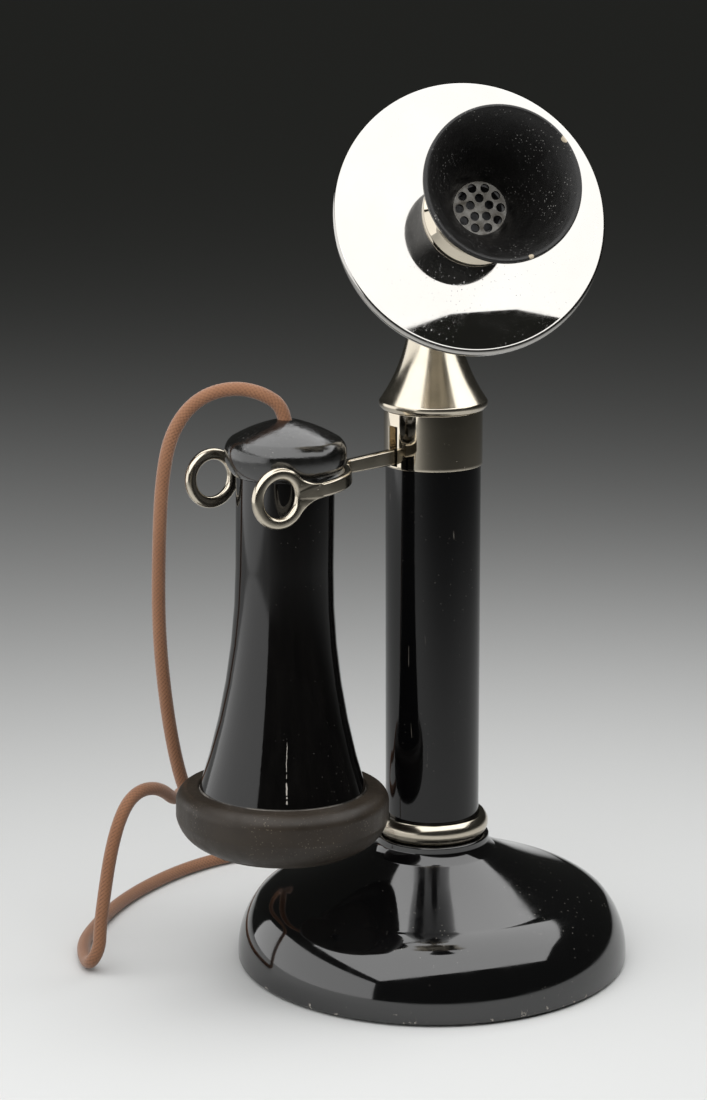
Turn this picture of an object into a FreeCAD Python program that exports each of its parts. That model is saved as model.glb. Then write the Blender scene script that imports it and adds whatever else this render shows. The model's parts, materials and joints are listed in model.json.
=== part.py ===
import FreeCAD, Part
import math
import os

import Sketcher

# Candlestick telephone. Millimetres, +Z up, origin at the middle of the base where it rests.
# The receiver hook points along -X, and a head that is not turned faces -Y.

doc = FreeCAD.newDocument("candlestick_telephone")
sheet = doc.addObject("Spreadsheet::Sheet", "dims")
sheet_rows = []
nodes = []


class Size:
    """A number, with the expression that gives it from the cells of the sheet."""

    def __init__(self, value, text):
        self.value = value
        self.text = text

    def __add__(self, other):
        other = as_size(other)
        return Size(self.value + other.value, "({} + {})".format(self.text, other.text))

    def __sub__(self, other):
        other = as_size(other)
        return Size(self.value - other.value, "({} - {})".format(self.text, other.text))

    def __mul__(self, other):
        other = as_size(other)
        return Size(self.value * other.value, "({} * {})".format(self.text, other.text))

    def __truediv__(self, other):
        other = as_size(other)
        return Size(self.value / other.value, "({} / {})".format(self.text, other.text))

    def __neg__(self):
        return self * -1

    def __radd__(self, other):
        return as_size(other) + self

    def __rsub__(self, other):
        return as_size(other) - self

    def __rmul__(self, other):
        return self * other


def as_size(number):
    """A plain number as a Size."""
    if isinstance(number, Size):
        return number
    return Size(float(number), "{:.6f}".format(number))


def cell(alias, value, meaning):
    """Write one driving dimension into the sheet and hand it back as a Size."""
    sheet_rows.append(alias)
    row = len(sheet_rows)
    sheet.set("A{}".format(row), meaning)
    sheet.set("B{}".format(row), str(value))
    sheet.setAlias("B{}".format(row), alias)
    return Size(float(value), "dims." + alias)


# ---------------------------------------------------------------- ways of making a piece


def new_body(label):
    """An empty body."""
    piece = doc.addObject("PartDesign::Body", label)
    piece.Label = label
    return piece


def new_sketch(piece, role, lift=0):
    """A sketch on one of the body's own origin planes, lifted off it along its normal."""
    plane = [item for item in piece.Origin.OriginFeatures if item.Role == role][0]
    sketch = piece.newObject("Sketcher::SketchObject", piece.Name + "_sketch")
    sketch.AttachmentSupport = [(plane, "")]
    sketch.MapMode = "FlatFace"
    lift = as_size(lift)
    if lift.value:
        sketch.setExpression("AttachmentOffset.Base.z", lift.text)
    return sketch


def tie(sketch, edge, point, corner):
    """Hold one end of an edge at its two distances from the sketch's origin."""
    for kind, axis, size in (("DistanceX", -2, corner[0]), ("DistanceY", -1, corner[1])):
        if size.value == 0:
            sketch.addConstraint(Sketcher.Constraint("PointOnObject", edge, point, axis))
        else:
            rule = Sketcher.Constraint(kind, -1, 1, edge, point, size.value)
            index = sketch.addConstraint(rule)
            sketch.setExpression("Constraints[{}]".format(index), size.text)


def arc_between(start, end, radius):
    """The shorter arc from start to end: a positive radius turns left, a negative one right."""
    chord = end - start
    rise = math.sqrt(max(radius * radius - chord.Length ** 2 / 4, 0))
    side = FreeCAD.Vector(-chord.y, chord.x, 0).normalize()
    centre = start + chord * 0.5 + side * math.copysign(rise, radius)
    first, last = (start, end) if radius > 0 else (end, start)
    angles = [math.atan2(p.y - centre.y, p.x - centre.x) for p in (first, last)]
    if angles[1] < angles[0]:
        angles[1] += 2 * math.pi
    circle = Part.Circle(centre, FreeCAD.Vector(0, 0, 1), abs(radius))
    return Part.ArcOfCircle(circle, angles[0], angles[1])


def draw(sketch, corners):
    """A closed outline: corners are (across, up), with the radius of the arc that follows, if any."""
    places = [(as_size(corner[0]), as_size(corner[1])) for corner in corners]
    points = [FreeCAD.Vector(across.value, up.value, 0) for across, up in places]
    edges = []
    for number, corner in enumerate(corners):
        start = points[number]
        end = points[(number + 1) % len(points)]
        if len(corner) == 3:
            bend = as_size(corner[2])
            edge = sketch.addGeometry(arc_between(start, end, bend.value), False)
            index = sketch.addConstraint(Sketcher.Constraint("Radius", edge, abs(bend.value)))
            sketch.setExpression("Constraints[{}]".format(index), "abs({})".format(bend.text))
            edges.append((edge, 1, 2) if bend.value > 0 else (edge, 2, 1))
        else:
            edge = sketch.addGeometry(Part.LineSegment(start, end), False)
            edges.append((edge, 1, 2))
    for number, (edge, start, end) in enumerate(edges):
        following = edges[(number + 1) % len(edges)]
        sketch.addConstraint(Sketcher.Constraint("Coincident", edge, end, following[0], following[1]))
        tie(sketch, edge, start, places[number])


def draw_circle(sketch, across, up, radius):
    """A circle by its centre and radius."""
    across, up, radius = as_size(across), as_size(up), as_size(radius)
    middle = FreeCAD.Vector(across.value, up.value, 0)
    edge = sketch.addGeometry(Part.Circle(middle, FreeCAD.Vector(0, 0, 1), radius.value), False)
    tie(sketch, edge, 3, (across, up))
    index = sketch.addConstraint(Sketcher.Constraint("Radius", edge, radius.value))
    sketch.setExpression("Constraints[{}]".format(index), radius.text)


def rectangle(low_across, low_up, high_across, high_up):
    """The corners of an upright rectangle."""
    return [(low_across, low_up), (high_across, low_up), (high_across, high_up), (low_across, high_up)]


def revolve(piece, corners, axis="V_Axis"):
    """Turn an outline, drawn in the XZ plane, a full turn about its upright axis."""
    sketch = new_sketch(piece, "XZ_Plane")
    draw(sketch, corners)
    feature = piece.newObject("PartDesign::Revolution", piece.Name + "_turn")
    feature.Profile = sketch
    feature.ReferenceAxis = (sketch, [axis])
    feature.Angle = 360
    return feature


def pad(piece, sketch, length, both=False, back=False):
    """Pad a sketch along its normal, to both sides of it, or back from it."""
    feature = piece.newObject("PartDesign::Pad", piece.Name + "_pad")
    feature.Profile = sketch
    feature.setExpression("Length", as_size(length).text)
    feature.Midplane = both
    feature.Reversed = back
    return feature


def pocket(piece, sketch, length, both=False, ahead=False):
    """Cut a sketch back from its plane, to both sides of it, or ahead along its normal."""
    feature = piece.newObject("PartDesign::Pocket", piece.Name + "_pocket")
    feature.Profile = sketch
    feature.setExpression("Length", as_size(length).text)
    feature.Midplane = both
    feature.Reversed = ahead
    return feature


def turned(label, corners):
    """A piece turned about Z."""
    piece = new_body(label)
    revolve(piece, corners)
    return piece


def plate(label, role, lift, thickness, corners, holes=()):
    """A flat piece padded off one plane, with round holes."""
    piece = new_body(label)
    sketch = new_sketch(piece, role, lift)
    draw(sketch, corners)
    for across, up, radius in holes:
        draw_circle(sketch, across, up, radius)
    pad(piece, sketch, thickness)
    return piece


def bar(label, radius, low, high):
    """A plain round bar along Z."""
    return turned(label, [(0, low), (radius, low), (radius, high), (0, high)])


def screw(label, head_r, head_t, shank_r, length):
    """A screw with its head above Z = 0 and its shank below."""
    return turned(label, [(0, -length), (shank_r, -length), (shank_r, 0), (head_r, 0),
                          (head_r, head_t * 0.6), (head_r * 0.8, head_t), (0, head_t)])


def put(piece, across=0, depth=0, up=0, axis=(0, 0, 1), angle=0):
    """Turn a piece about an axis through its own origin, then set that origin down."""
    turn = FreeCAD.Rotation(FreeCAD.Vector(*axis), angle)
    places = [as_size(size) for size in (across, depth, up)]
    piece.Placement = FreeCAD.Placement(FreeCAD.Vector(*[size.value for size in places]), turn)
    for name, size in zip("xyz", places):
        if size.value:
            piece.setExpression("Placement.Base." + name, size.text)
    return piece


def group(label, pieces):
    """Separate like solids as one node."""
    joined = doc.addObject("Part::Compound", label)
    joined.Label = label
    joined.Links = pieces
    return joined


def cut(label, base, tools):
    """The base less every tool."""
    tool = doc.addObject("Part::Compound", label + "_tools")
    tool.Links = tools
    result = doc.addObject("Part::Cut", label)
    result.Label = label
    result.Base = base
    result.Tool = tool
    return result


def node(piece, placement=None):
    """Keep a piece as a node of the telephone, set in its group's place if it has one."""
    if placement is not None:
        piece.Placement = placement
    nodes.append(piece)
    return piece


def around(count, first=0.0):
    """Directions of equally spaced copies, as cosines and sines."""
    angles = [math.radians(first + 360.0 * number / count) for number in range(count)]
    return [(math.cos(angle), math.sin(angle)) for angle in angles]


# ---------------------------------------------------------------- base

base_r = cell("base_r", 66.8, "radius of the base")
base_wall = cell("base_wall", 2.5, "wall of the base casting")
base_lip = cell("base_lip", 0.9, "height of the casting's lower edge above the table")
foot_height = cell("foot_height", 3.0, "height of the upright foot of the base")
shoulder_in = cell("shoulder_in", 6.8, "how far the shoulder ends inside the foot")
shoulder_height = cell("shoulder_height", 21.0, "height where the shoulder ends")
brow_in = cell("brow_in", 16.8, "how far the brow ends inside the foot")
brow_height = cell("brow_height", 26.4, "height where the brow ends")
flank_r = cell("flank_r", 22.0, "radius where the long flank ends")
flank_height = cell("flank_height", 38.8, "height where the long flank ends")
neck_r = cell("neck_r", 19.4, "radius of the neck of the base")
neck_height = cell("neck_height", 42.5, "height where the neck turns upright")
base_height = cell("base_height", 44.5, "height of the base")
shoulder_arc = cell("shoulder_arc", 27.4, "radius of the shoulder's curve")
brow_arc = cell("brow_arc", 22.9, "radius of the brow's curve")
flank_arc = cell("flank_arc", 204.0, "radius of the flank's hollow curve")
neck_arc = cell("neck_arc", 8.2, "radius of the neck's hollow curve")
stem_r = cell("stem_r", 6.0, "radius of the stem that clamps the column")
stem_gap = cell("stem_gap", 0.3, "clearance of the stem in the base")
felt_t = cell("felt_t", 1.4, "thickness of the felt")
plate_t = cell("plate_t", 1.2, "thickness of the bottom plate")
plate_gap = cell("plate_gap", 0.3, "clearance round the bottom plate")
boss_in = cell("boss_in", 16.8, "how far the screw bosses lie inside the foot")
boss_r = cell("boss_r", 4.0, "radius of a screw boss")
base_screw_r = cell("base_screw_r", 1.4, "radius of a base screw")
base_screw_head_r = cell("base_screw_head_r", 2.9, "radius of a base screw's head")
base_screw_head_t = cell("base_screw_head_t", 0.8, "thickness of a base screw's head")
base_screw_length = cell("base_screw_length", 9.0, "length of a base screw's shank")
screw_gap = cell("screw_gap", 0.1, "clearance round a screw")
bush_height = cell("bush_height", 9.5, "height of the cord bushings above the table")
bush_hole_r = cell("bush_hole_r", 4.0, "radius of a bushing's hole in the base")
bush_gap = cell("bush_gap", 0.15, "clearance of a bushing in its hole")
bush_flange_r = cell("bush_flange_r", 5.4, "radius of a bushing's flange")
bush_flange_t = cell("bush_flange_t", 1.7, "thickness of a bushing's flange")
bush_stand = cell("bush_stand", 0.1, "how far a bushing's flange starts outside the foot")
cord_bore_r = cell("cord_bore_r", 2.6, "bore of the receiver cord's bushing")
line_bore_r = cell("line_bore_r", 2.9, "bore of the line cord's bushing")

# Leans of the base's outside, in degrees above level, where its curves meet.
SHOULDER_LEAN = 41.0
BROW_LEAN = 70.0
FLANK_LEAN = 61.0
SCREW_COUNT = 3
FIRST_SCREW_AT = 30.0
RECEIVER_CORD_AT = 90.0
LINE_CORD_AT = 62.0

boss_circle = base_r - boss_in
inner_foot_r = base_r - base_wall
plate_top = felt_t + plate_t


def inside(across, up, lean):
    """The inner corner that lies one wall inside an outer one."""
    return (across - base_wall * math.cos(math.radians(lean)),
            up - base_wall * math.sin(math.radians(lean)))


shoulder = (base_r - shoulder_in, shoulder_height)
brow = (base_r - brow_in, brow_height)
flank = (flank_r, flank_height)
inner_shoulder = inside(*shoulder, SHOULDER_LEAN)
inner_brow = inside(*brow, BROW_LEAN)
inner_flank = inside(*flank, FLANK_LEAN)
stem_hole_r = stem_r + stem_gap

base_blank = new_body("base_casting")
revolve(base_blank, [
    (inner_foot_r, base_lip), (base_r, base_lip), (base_r, foot_height, shoulder_arc),
    (*shoulder, brow_arc), (*brow, -flank_arc), (*flank, -neck_arc), (neck_r, neck_height),
    (neck_r, base_height), (stem_hole_r, base_height), (stem_hole_r, inner_flank[1]),
    (*inner_flank, flank_arc + base_wall), (*inner_brow, -(brow_arc - base_wall)),
    (*inner_shoulder, -(shoulder_arc - base_wall)), (inner_foot_r, foot_height)])
boss_sketch = new_sketch(base_blank, "XY_Plane", plate_top)
for cosine, sine in around(SCREW_COUNT, FIRST_SCREW_AT):
    draw_circle(boss_sketch, boss_circle * cosine, boss_circle * sine, boss_r)
pad(base_blank, boss_sketch, inner_brow[1] - plate_top)
boss_holes = new_sketch(base_blank, "XY_Plane", plate_top)
for cosine, sine in around(SCREW_COUNT, FIRST_SCREW_AT):
    draw_circle(boss_holes, boss_circle * cosine, boss_circle * sine, base_screw_r + screw_gap / 2)
pocket(base_blank, boss_holes, base_screw_length, ahead=True)


def radial(piece, azimuth):
    """Lay a piece made along Z out along a level radius at the bushings' height."""
    level = FreeCAD.Rotation(FreeCAD.Vector(0, 1, 0), 90)
    turn = FreeCAD.Rotation(FreeCAD.Vector(0, 0, 1), azimuth)
    piece.Placement = FreeCAD.Placement(FreeCAD.Vector(0, 0, bush_height.value), turn * level)
    piece.setExpression("Placement.Base.z", bush_height.text)
    return piece


bush_holes = []
for azimuth in (RECEIVER_CORD_AT, LINE_CORD_AT):
    drill = bar("bushing_drill", bush_hole_r, inner_foot_r - 8, base_r + 3)
    bush_holes.append(radial(drill, azimuth))
node(cut("base_shell", base_blank, bush_holes))

felt_holes = []
plate_holes = []
base_screws = []
for cosine, sine in around(SCREW_COUNT, FIRST_SCREW_AT):
    spot = (boss_circle * cosine, boss_circle * sine)
    felt_holes.append((*spot, base_screw_head_r + screw_gap * 3))
    plate_holes.append((*spot, base_screw_r + screw_gap))
    base_screw = screw("base_plate_screw", base_screw_head_r, base_screw_head_t, base_screw_r,
                       base_screw_length - screw_gap * 2 + plate_t)
    base_screws.append(put(base_screw, *spot, felt_t, axis=(1, 0, 0), angle=180))


def disc(label, radius, low, thickness, holes):
    """A round plate with holes, lying level."""
    piece = new_body(label)
    sketch = new_sketch(piece, "XY_Plane", low)
    draw_circle(sketch, 0, 0, radius)
    for across, up, hole_r in holes:
        draw_circle(sketch, across, up, hole_r)
    pad(piece, sketch, thickness)
    return piece


plate_r = inner_foot_r - plate_gap
node(disc("base_felt", plate_r, 0, felt_t, felt_holes))
node(disc("base_plate", plate_r, felt_t, plate_t, plate_holes))
node(group("base_plate_screws", base_screws))


def bushing(label, bore_r, azimuth):
    """A flanged bushing that lines a cord's hole through the foot of the base."""
    seat = base_r + bush_stand
    face = seat + bush_flange_t
    tail = inner_foot_r - 2
    piece = turned(label, [
        (bore_r, tail), (bush_hole_r - bush_gap, tail), (bush_hole_r - bush_gap, seat),
        (bush_flange_r, seat), (bush_flange_r, face - bush_flange_t * 0.5),
        (bush_flange_r - bush_flange_t * 0.5, face), (bore_r, face)])
    return node(radial(piece, azimuth))


bushing("receiver_cord_bushing", cord_bore_r, RECEIVER_CORD_AT)
bushing("line_cord_bushing", line_bore_r, LINE_CORD_AT)

block_length = cell("block_length", 44.0, "length of the terminal block")
block_width = cell("block_width", 12.0, "width of the terminal block")
block_height = cell("block_height", 7.0, "height of the terminal block")
block_at = cell("block_at", 26.0, "how far behind the middle the terminal block lies")
terminal_r = cell("terminal_r", 1.3, "radius of a terminal screw")
terminal_depth = cell("terminal_depth", 4.5, "depth of a terminal screw in the block")
TERMINALS = 4
terminal_pitch = block_length / TERMINALS
terminal_spots = [terminal_pitch * (number - (TERMINALS - 1) / 2) for number in range(TERMINALS)]
terminal_block = new_body("terminal_block")
block_sketch = new_sketch(terminal_block, "XY_Plane", plate_top)
draw(block_sketch, rectangle(-block_length / 2, block_at - block_width / 2,
                             block_length / 2, block_at + block_width / 2))
pad(terminal_block, block_sketch, block_height)
block_holes = new_sketch(terminal_block, "XY_Plane", plate_top + block_height)
for spot in terminal_spots:
    draw_circle(block_holes, spot, block_at, terminal_r + screw_gap / 2)
pocket(terminal_block, block_holes, terminal_depth + screw_gap)
node(terminal_block)
terminal_screws = []
for spot in terminal_spots:
    terminal = screw("terminal_screw", terminal_r * 2, terminal_r, terminal_r, terminal_depth)
    terminal_screws.append(put(terminal, spot, block_at, plate_top + block_height))
node(group("terminal_screws", terminal_screws))

# ---------------------------------------------------------------- column

column_r = cell("column_r", 15.875, "outer radius of the column tube")
column_wall = cell("column_wall", 1.6, "wall of the column tube")
column_length = cell("column_length", 128.05, "length of the column tube")
tube_gap = cell("tube_gap", 0.1, "clearance of what fits inside the column tube")
plug_height = cell("plug_height", 11.5, "height of the stem's plug inside the tube")
stem_beyond = cell("stem_beyond", 2.6, "how far the stem stands out below its nut")
stem_bore_r = cell("stem_bore_r", 4.0, "bore of the stem for the wires")
nut_flats = cell("nut_flats", 18.0, "width of the column nut across its flats")
nut_t = cell("nut_t", 5.0, "thickness of the column nut")
bead_out = cell("bead_out", 1.7, "how far the foot ring's edges stand off the column")
bead_lift = cell("bead_lift", 0.2, "height of the foot ring above the base")
bead_height = cell("bead_height", 7.1, "height of the foot ring")
bead_rise = cell("bead_rise", 1.5, "rise of the foot ring's bead")
bead_gap = cell("bead_gap", 0.1, "clearance of the foot ring on the column")
collar_r = cell("collar_r", 16.4, "outer radius of the hook collar")
collar_height = cell("collar_height", 18.45, "height of the hook collar above the tube")
collar_bore_r = cell("collar_bore_r", 12.6, "bore of the hook collar")
collar_spigot = cell("collar_spigot", 12.0, "length of the collar's spigot in the tube")
ledge_r = cell("ledge_r", 10.8, "inner radius of the ledge in the collar")
ledge_t = cell("ledge_t", 2.0, "thickness of the ledge in the collar")
slot_width = cell("slot_width", 4.4, "width of the hook slot")
slot_height = cell("slot_height", 13.1, "height of the hook slot")
slot_under = cell("slot_under", 0.43, "clearance of the resting lever above the slot's lower end")
edge_break = cell("edge_break", 0.4, "bevel on the collar's edges")

pivot_x = cell("pivot_x", 4.0, "how far the hook's pivot lies past the column's axis")
pivot_rise = cell("pivot_rise", 5.3, "height of the hook's pivot above the column tube")
droop = cell("droop", 3.7, "how far the loaded hook points down, in degrees")
lever_height = cell("lever_height", 4.4, "height of the lever at the fork")
lever_root = cell("lever_root", 6.0, "height of the lever at its pivot")

column_top = base_height + column_length
collar_top = column_top + collar_height
pivot_z = column_top + pivot_rise
DROOP_SLOPE = math.tan(math.radians(droop.value))
# The lever goes into the collar about half way along, where it has the mean of its two heights.
lever_in_slot = (lever_height + lever_root) / 2
slot_low = pivot_z - (collar_r + pivot_x) * DROOP_SLOPE - lever_in_slot / 2 - slot_under
tube_bore_r = column_r - column_wall
node(turned("column_tube", [(tube_bore_r, base_height), (column_r, base_height),
                            (column_r, column_top), (tube_bore_r, column_top)]))
plug_r = tube_bore_r - tube_gap
stem_tail = inner_flank[1] - nut_t - stem_beyond
node(turned("column_stem", [
    (stem_bore_r, stem_tail), (stem_r, stem_tail), (stem_r, base_height), (plug_r, base_height),
    (plug_r, base_height + plug_height), (stem_bore_r, base_height + plug_height)]))
nut_corner = nut_flats / math.sqrt(3)
column_nut = new_body("column_nut")
nut_sketch = new_sketch(column_nut, "XY_Plane", inner_flank[1] - nut_t)
draw(nut_sketch, [(nut_corner * cosine, nut_corner * sine) for cosine, sine in around(6, 30)])
draw_circle(nut_sketch, 0, 0, stem_r + screw_gap / 2)
pad(column_nut, nut_sketch, nut_t)
node(column_nut)
bead_bore_r = column_r + bead_gap
bead_edge_r = column_r + bead_out
bead_low = base_height + bead_lift
bead_high = bead_low + bead_height
bead_arc = (bead_height * bead_height / 4 + bead_rise * bead_rise) / (bead_rise * 2)
node(turned("column_ring", [(bead_bore_r, bead_low), (bead_edge_r, bead_low, bead_arc),
                            (bead_edge_r, bead_high), (bead_bore_r, bead_high)]))

hook_collar = new_body("hook_collar")
revolve(hook_collar, [
    (ledge_r, column_top - collar_spigot), (plug_r, column_top - collar_spigot),
    (plug_r, column_top), (collar_r - edge_break, column_top), (collar_r, column_top + edge_break),
    (collar_r, collar_top - edge_break), (collar_r - edge_break, collar_top),
    (collar_bore_r, collar_top), (collar_bore_r, column_top - collar_spigot + ledge_t),
    (ledge_r, column_top - collar_spigot + ledge_t)])
slot_sketch = new_sketch(hook_collar, "YZ_Plane")
draw(slot_sketch, rectangle(-slot_width / 2, slot_low, slot_width / 2, slot_low + slot_height))
pocket(hook_collar, slot_sketch, collar_r + 5)
node(hook_collar)

# ---------------------------------------------------------------- switch inside the collar

pivot_r = cell("pivot_r", 1.5, "radius of the hook's pivot pin")
running_gap = cell("running_gap", 0.05, "radial clearance of a moving joint")
cheek_inside = cell("cheek_inside", 4.3, "half of the space between the frame's cheeks")
cheek_t = cell("cheek_t", 1.5, "thickness of a cheek")
cheek_front = cell("cheek_front", 5.0, "reach of the cheeks before the pivot")
cheek_back = cell("cheek_back", 5.0, "reach of the cheeks behind the pivot")
cheek_top = cell("cheek_top", 4.4, "height of the cheeks above the pivot")
frame_t = cell("frame_t", 2.0, "thickness of the frame's floor")
leg_t = cell("leg_t", 1.6, "thickness of the frame's leg")
leg_width = cell("leg_width", 7.4, "width of the frame's leg")
leg_length = cell("leg_length", 14.0, "length of the frame's leg below the floor")
leaf_t = cell("leaf_t", 0.4, "thickness of a contact leaf")
leaf_width = cell("leaf_width", 5.0, "width of a contact leaf")
leaf_length = cell("leaf_length", 24.0, "length of a contact leaf")
leaf_x = cell("leaf_x", 7.2, "how far past the column's axis the first leaf stands")
spacer_t = cell("spacer_t", 1.0, "thickness of an insulating spacer")
spacer_height = cell("spacer_height", 11.0, "height of an insulating spacer")
clamp_r = cell("clamp_r", 0.9, "radius of a clamp screw of the leaf stack")
LEAVES = 3

floor_low = column_top - collar_spigot + ledge_t
floor_top = floor_low + frame_t
leg_low = floor_low - leg_length
stack_pitch = leaf_t + spacer_t
clamp_heights = [leg_low + spacer_height * share for share in (0.25, 0.75)]
clamp_hole_r = clamp_r + screw_gap / 2

switch_frame = new_body("switch_frame")
frame_disc = new_sketch(switch_frame, "XY_Plane", floor_low)
draw_circle(frame_disc, 0, 0, collar_bore_r - tube_gap)
draw(frame_disc, rectangle(leaf_x - 0.6, -leaf_width / 2 - 0.6,
                           leaf_x + stack_pitch * LEAVES - 0.5, leaf_width / 2 + 0.6))
pad(switch_frame, frame_disc, frame_t)
cheeks = new_sketch(switch_frame, "XY_Plane", floor_top)
for side in (-1, 1):
    near = cheek_inside * side
    far = (cheek_inside + cheek_t) * side
    low, high = (near, far) if side > 0 else (far, near)
    draw(cheeks, rectangle(pivot_x - cheek_front, low, pivot_x + cheek_back, high))
pad(switch_frame, cheeks, pivot_z + cheek_top - floor_top)
leg_x = leaf_x - spacer_t - leg_t
leg = new_sketch(switch_frame, "XY_Plane", floor_low)
draw(leg, rectangle(leg_x, -leg_width / 2, leg_x + leg_t, leg_width / 2))
pad(switch_frame, leg, leg_length, back=True)
cheek_holes = new_sketch(switch_frame, "XZ_Plane")
draw_circle(cheek_holes, pivot_x, pivot_z, pivot_r)
pocket(switch_frame, cheek_holes, (cheek_inside + cheek_t) * 2 + 2, both=True)
leg_holes = new_sketch(switch_frame, "YZ_Plane", leg_x + leg_t)
for height in clamp_heights:
    draw_circle(leg_holes, 0, height, clamp_hole_r)
pocket(switch_frame, leg_holes, leg_t)
node(switch_frame)

pivot_pin = bar("hook_pivot_pin", pivot_r, -(cheek_inside + cheek_t), cheek_inside + cheek_t)
node(put(pivot_pin, pivot_x, 0, pivot_z, axis=(1, 0, 0), angle=90))

stack_holes = [(0, height, clamp_hole_r) for height in clamp_heights]
leaves = []
spacers = []
for number in range(LEAVES):
    at = leaf_x + stack_pitch * number
    leaves.append(plate("contact_leaf", "YZ_Plane", at, leaf_t,
                        rectangle(-leaf_width / 2, leg_low, leaf_width / 2, leg_low + leaf_length),
                        stack_holes))
for number in range(LEAVES + 1):
    at = leaf_x - spacer_t + stack_pitch * number
    spacers.append(plate("spacer", "YZ_Plane", at, spacer_t,
                         rectangle(-leg_width / 2, leg_low, leg_width / 2, leg_low + spacer_height),
                         stack_holes))
node(group("contact_springs", leaves))
node(group("spring_insulators", spacers))
clamp_screws = []
stack_depth = leg_t + spacer_t + stack_pitch * LEAVES
for height in clamp_heights:
    clamp = screw("clamp_screw", clamp_r * 1.9, clamp_r * 1.4, clamp_r, stack_depth)
    clamp_screws.append(put(clamp, leg_x, 0, height, axis=(0, 1, 0), angle=-90))
node(group("spring_clamp_screws", clamp_screws))

# ---------------------------------------------------------------- hook

reach = cell("reach", 58.4, "distance of the receiver's axis from the column's")
slot_side = cell("slot_side", 0.8, "clearance of the lever at each side of the slot")
prong_t = cell("prong_t", 2.4, "thickness of a prong of the fork")
prong_height = cell("prong_height", 4.8, "height of a prong of the fork")
fork_inside = cell("fork_inside", 18.9, "half of the space between the prongs")
eye_beyond = cell("eye_beyond", 15.6, "how far an eye's centre lies beyond the receiver's axis")
eye_r = cell("eye_r", 9.8, "outer radius of an eye")
eye_hole_r = cell("eye_hole_r", 6.1, "radius of an eye's hole")
eye_t = cell("eye_t", 2.8, "thickness of an eye")
eye_round = cell("eye_round", 1.2, "rounding of an eye's edges")
boss_gap = cell("boss_gap", 0.4, "clearance between the lever's boss and a cheek")
lever_boss_r = cell("lever_boss_r", 4.0, "radius of the lever's boss")
tail_gap = cell("tail_gap", 1.9, "clearance of the lever's tail above the frame's floor")
tail_t = cell("tail_t", 2.8, "thickness of the lever's tail")
web_arc = cell("web_arc", 12.0, "radius of the curve from a prong into its eye")
stud_r = cell("stud_r", 1.4, "radius of the insulating stud")
stud_length = cell("stud_length", 1.0, "length of the insulating stud")
stud_lift = cell("stud_lift", 2.4, "height of the stud above the tail's end")

lever_t = slot_width - slot_side * 2
boss_width = (cheek_inside - boss_gap) * 2
tail_length = pivot_z - floor_top - tail_gap
stud_below = tail_length - stud_lift
fork_centre = -(reach + pivot_x)
eye_centre = fork_centre - eye_beyond
prong_middle = fork_inside + prong_t / 2
fork_outside = fork_inside + prong_t
neck_of_eye = eye_centre + eye_r * 0.78
spread_of_eye = eye_r * 0.62

hook_place = FreeCAD.Placement(
    FreeCAD.Vector(pivot_x.value, 0, pivot_z.value),
    FreeCAD.Rotation(FreeCAD.Vector(0, 1, 0), -droop.value))

hook_fork = new_body("hook_fork")
yoke = new_sketch(hook_fork, "XY_Plane")
draw(yoke, [(neck_of_eye, fork_inside), (fork_centre, fork_inside, -fork_inside),
            (fork_centre + fork_inside, 0, -fork_inside),
            (fork_centre, -fork_inside), (neck_of_eye, -fork_inside),
            (neck_of_eye, -fork_outside), (fork_centre, -fork_outside, fork_outside),
            (fork_centre + fork_outside, 0, fork_outside),
            (fork_centre, fork_outside), (neck_of_eye, fork_outside)])
pad(hook_fork, yoke, prong_height, both=True)
lever_start = fork_centre + fork_inside + prong_t / 2
lever = new_sketch(hook_fork, "XZ_Plane")
draw(lever, [(lever_start, -lever_height / 2), (0, -lever_root / 2), (0, lever_root / 2),
             (lever_start, lever_height / 2)])
pad(hook_fork, lever, lever_t, both=True)
lever_boss = new_sketch(hook_fork, "XZ_Plane")
draw_circle(lever_boss, 0, 0, lever_boss_r)
pad(hook_fork, lever_boss, boss_width, both=True)
tail = new_sketch(hook_fork, "XZ_Plane")
draw(tail, rectangle(-tail_t / 2, -tail_length, tail_t / 2, -lever_boss_r / 2))
pad(hook_fork, tail, lever_t + 1, both=True)
pivot_hole = new_sketch(hook_fork, "XZ_Plane")
draw_circle(pivot_hole, 0, 0, pivot_r + running_gap)
pocket(hook_fork, pivot_hole, boss_width + 2, both=True)
for side in (-1, 1):
    web = new_sketch(hook_fork, "XZ_Plane", -prong_middle * side)
    draw(web, [(neck_of_eye + spread_of_eye * 1.3, -prong_height / 2, web_arc),
               (neck_of_eye, -spread_of_eye), (neck_of_eye, spread_of_eye, web_arc),
               (neck_of_eye + spread_of_eye * 1.3, prong_height / 2)])
    pad(hook_fork, web, prong_t, both=True)
eye_seats = new_sketch(hook_fork, "XZ_Plane")
draw_circle(eye_seats, eye_centre, 0, eye_r)
pocket(hook_fork, eye_seats, fork_outside * 2 + 2, both=True)
node(hook_fork, hook_place)

eyes = []
for side, name in ((-1, "left_eye"), (1, "right_eye")):
    half = eye_t / 2
    eye = turned(name, [
        (eye_hole_r + eye_round, -half), (eye_r - eye_round, -half, eye_round),
        (eye_r, -half + eye_round), (eye_r, half - eye_round, eye_round),
        (eye_r - eye_round, half), (eye_hole_r + eye_round, half, eye_round),
        (eye_hole_r, half - eye_round), (eye_hole_r, -half + eye_round, eye_round)])
    flat = FreeCAD.Placement(
        FreeCAD.Vector(eye_centre.value, prong_middle.value * side, 0),
        FreeCAD.Rotation(FreeCAD.Vector(1, 0, 0), 90))
    node(eye, hook_place.multiply(flat))

stud = bar("lever_stud", stud_r, 0, stud_length)
stud_flat = FreeCAD.Placement(
    FreeCAD.Vector(tail_t.value / 2, 0, -stud_below.value),
    FreeCAD.Rotation(FreeCAD.Vector(0, 1, 0), 90))
node(stud, hook_place.multiply(stud_flat))

# ---------------------------------------------------------------- head

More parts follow.
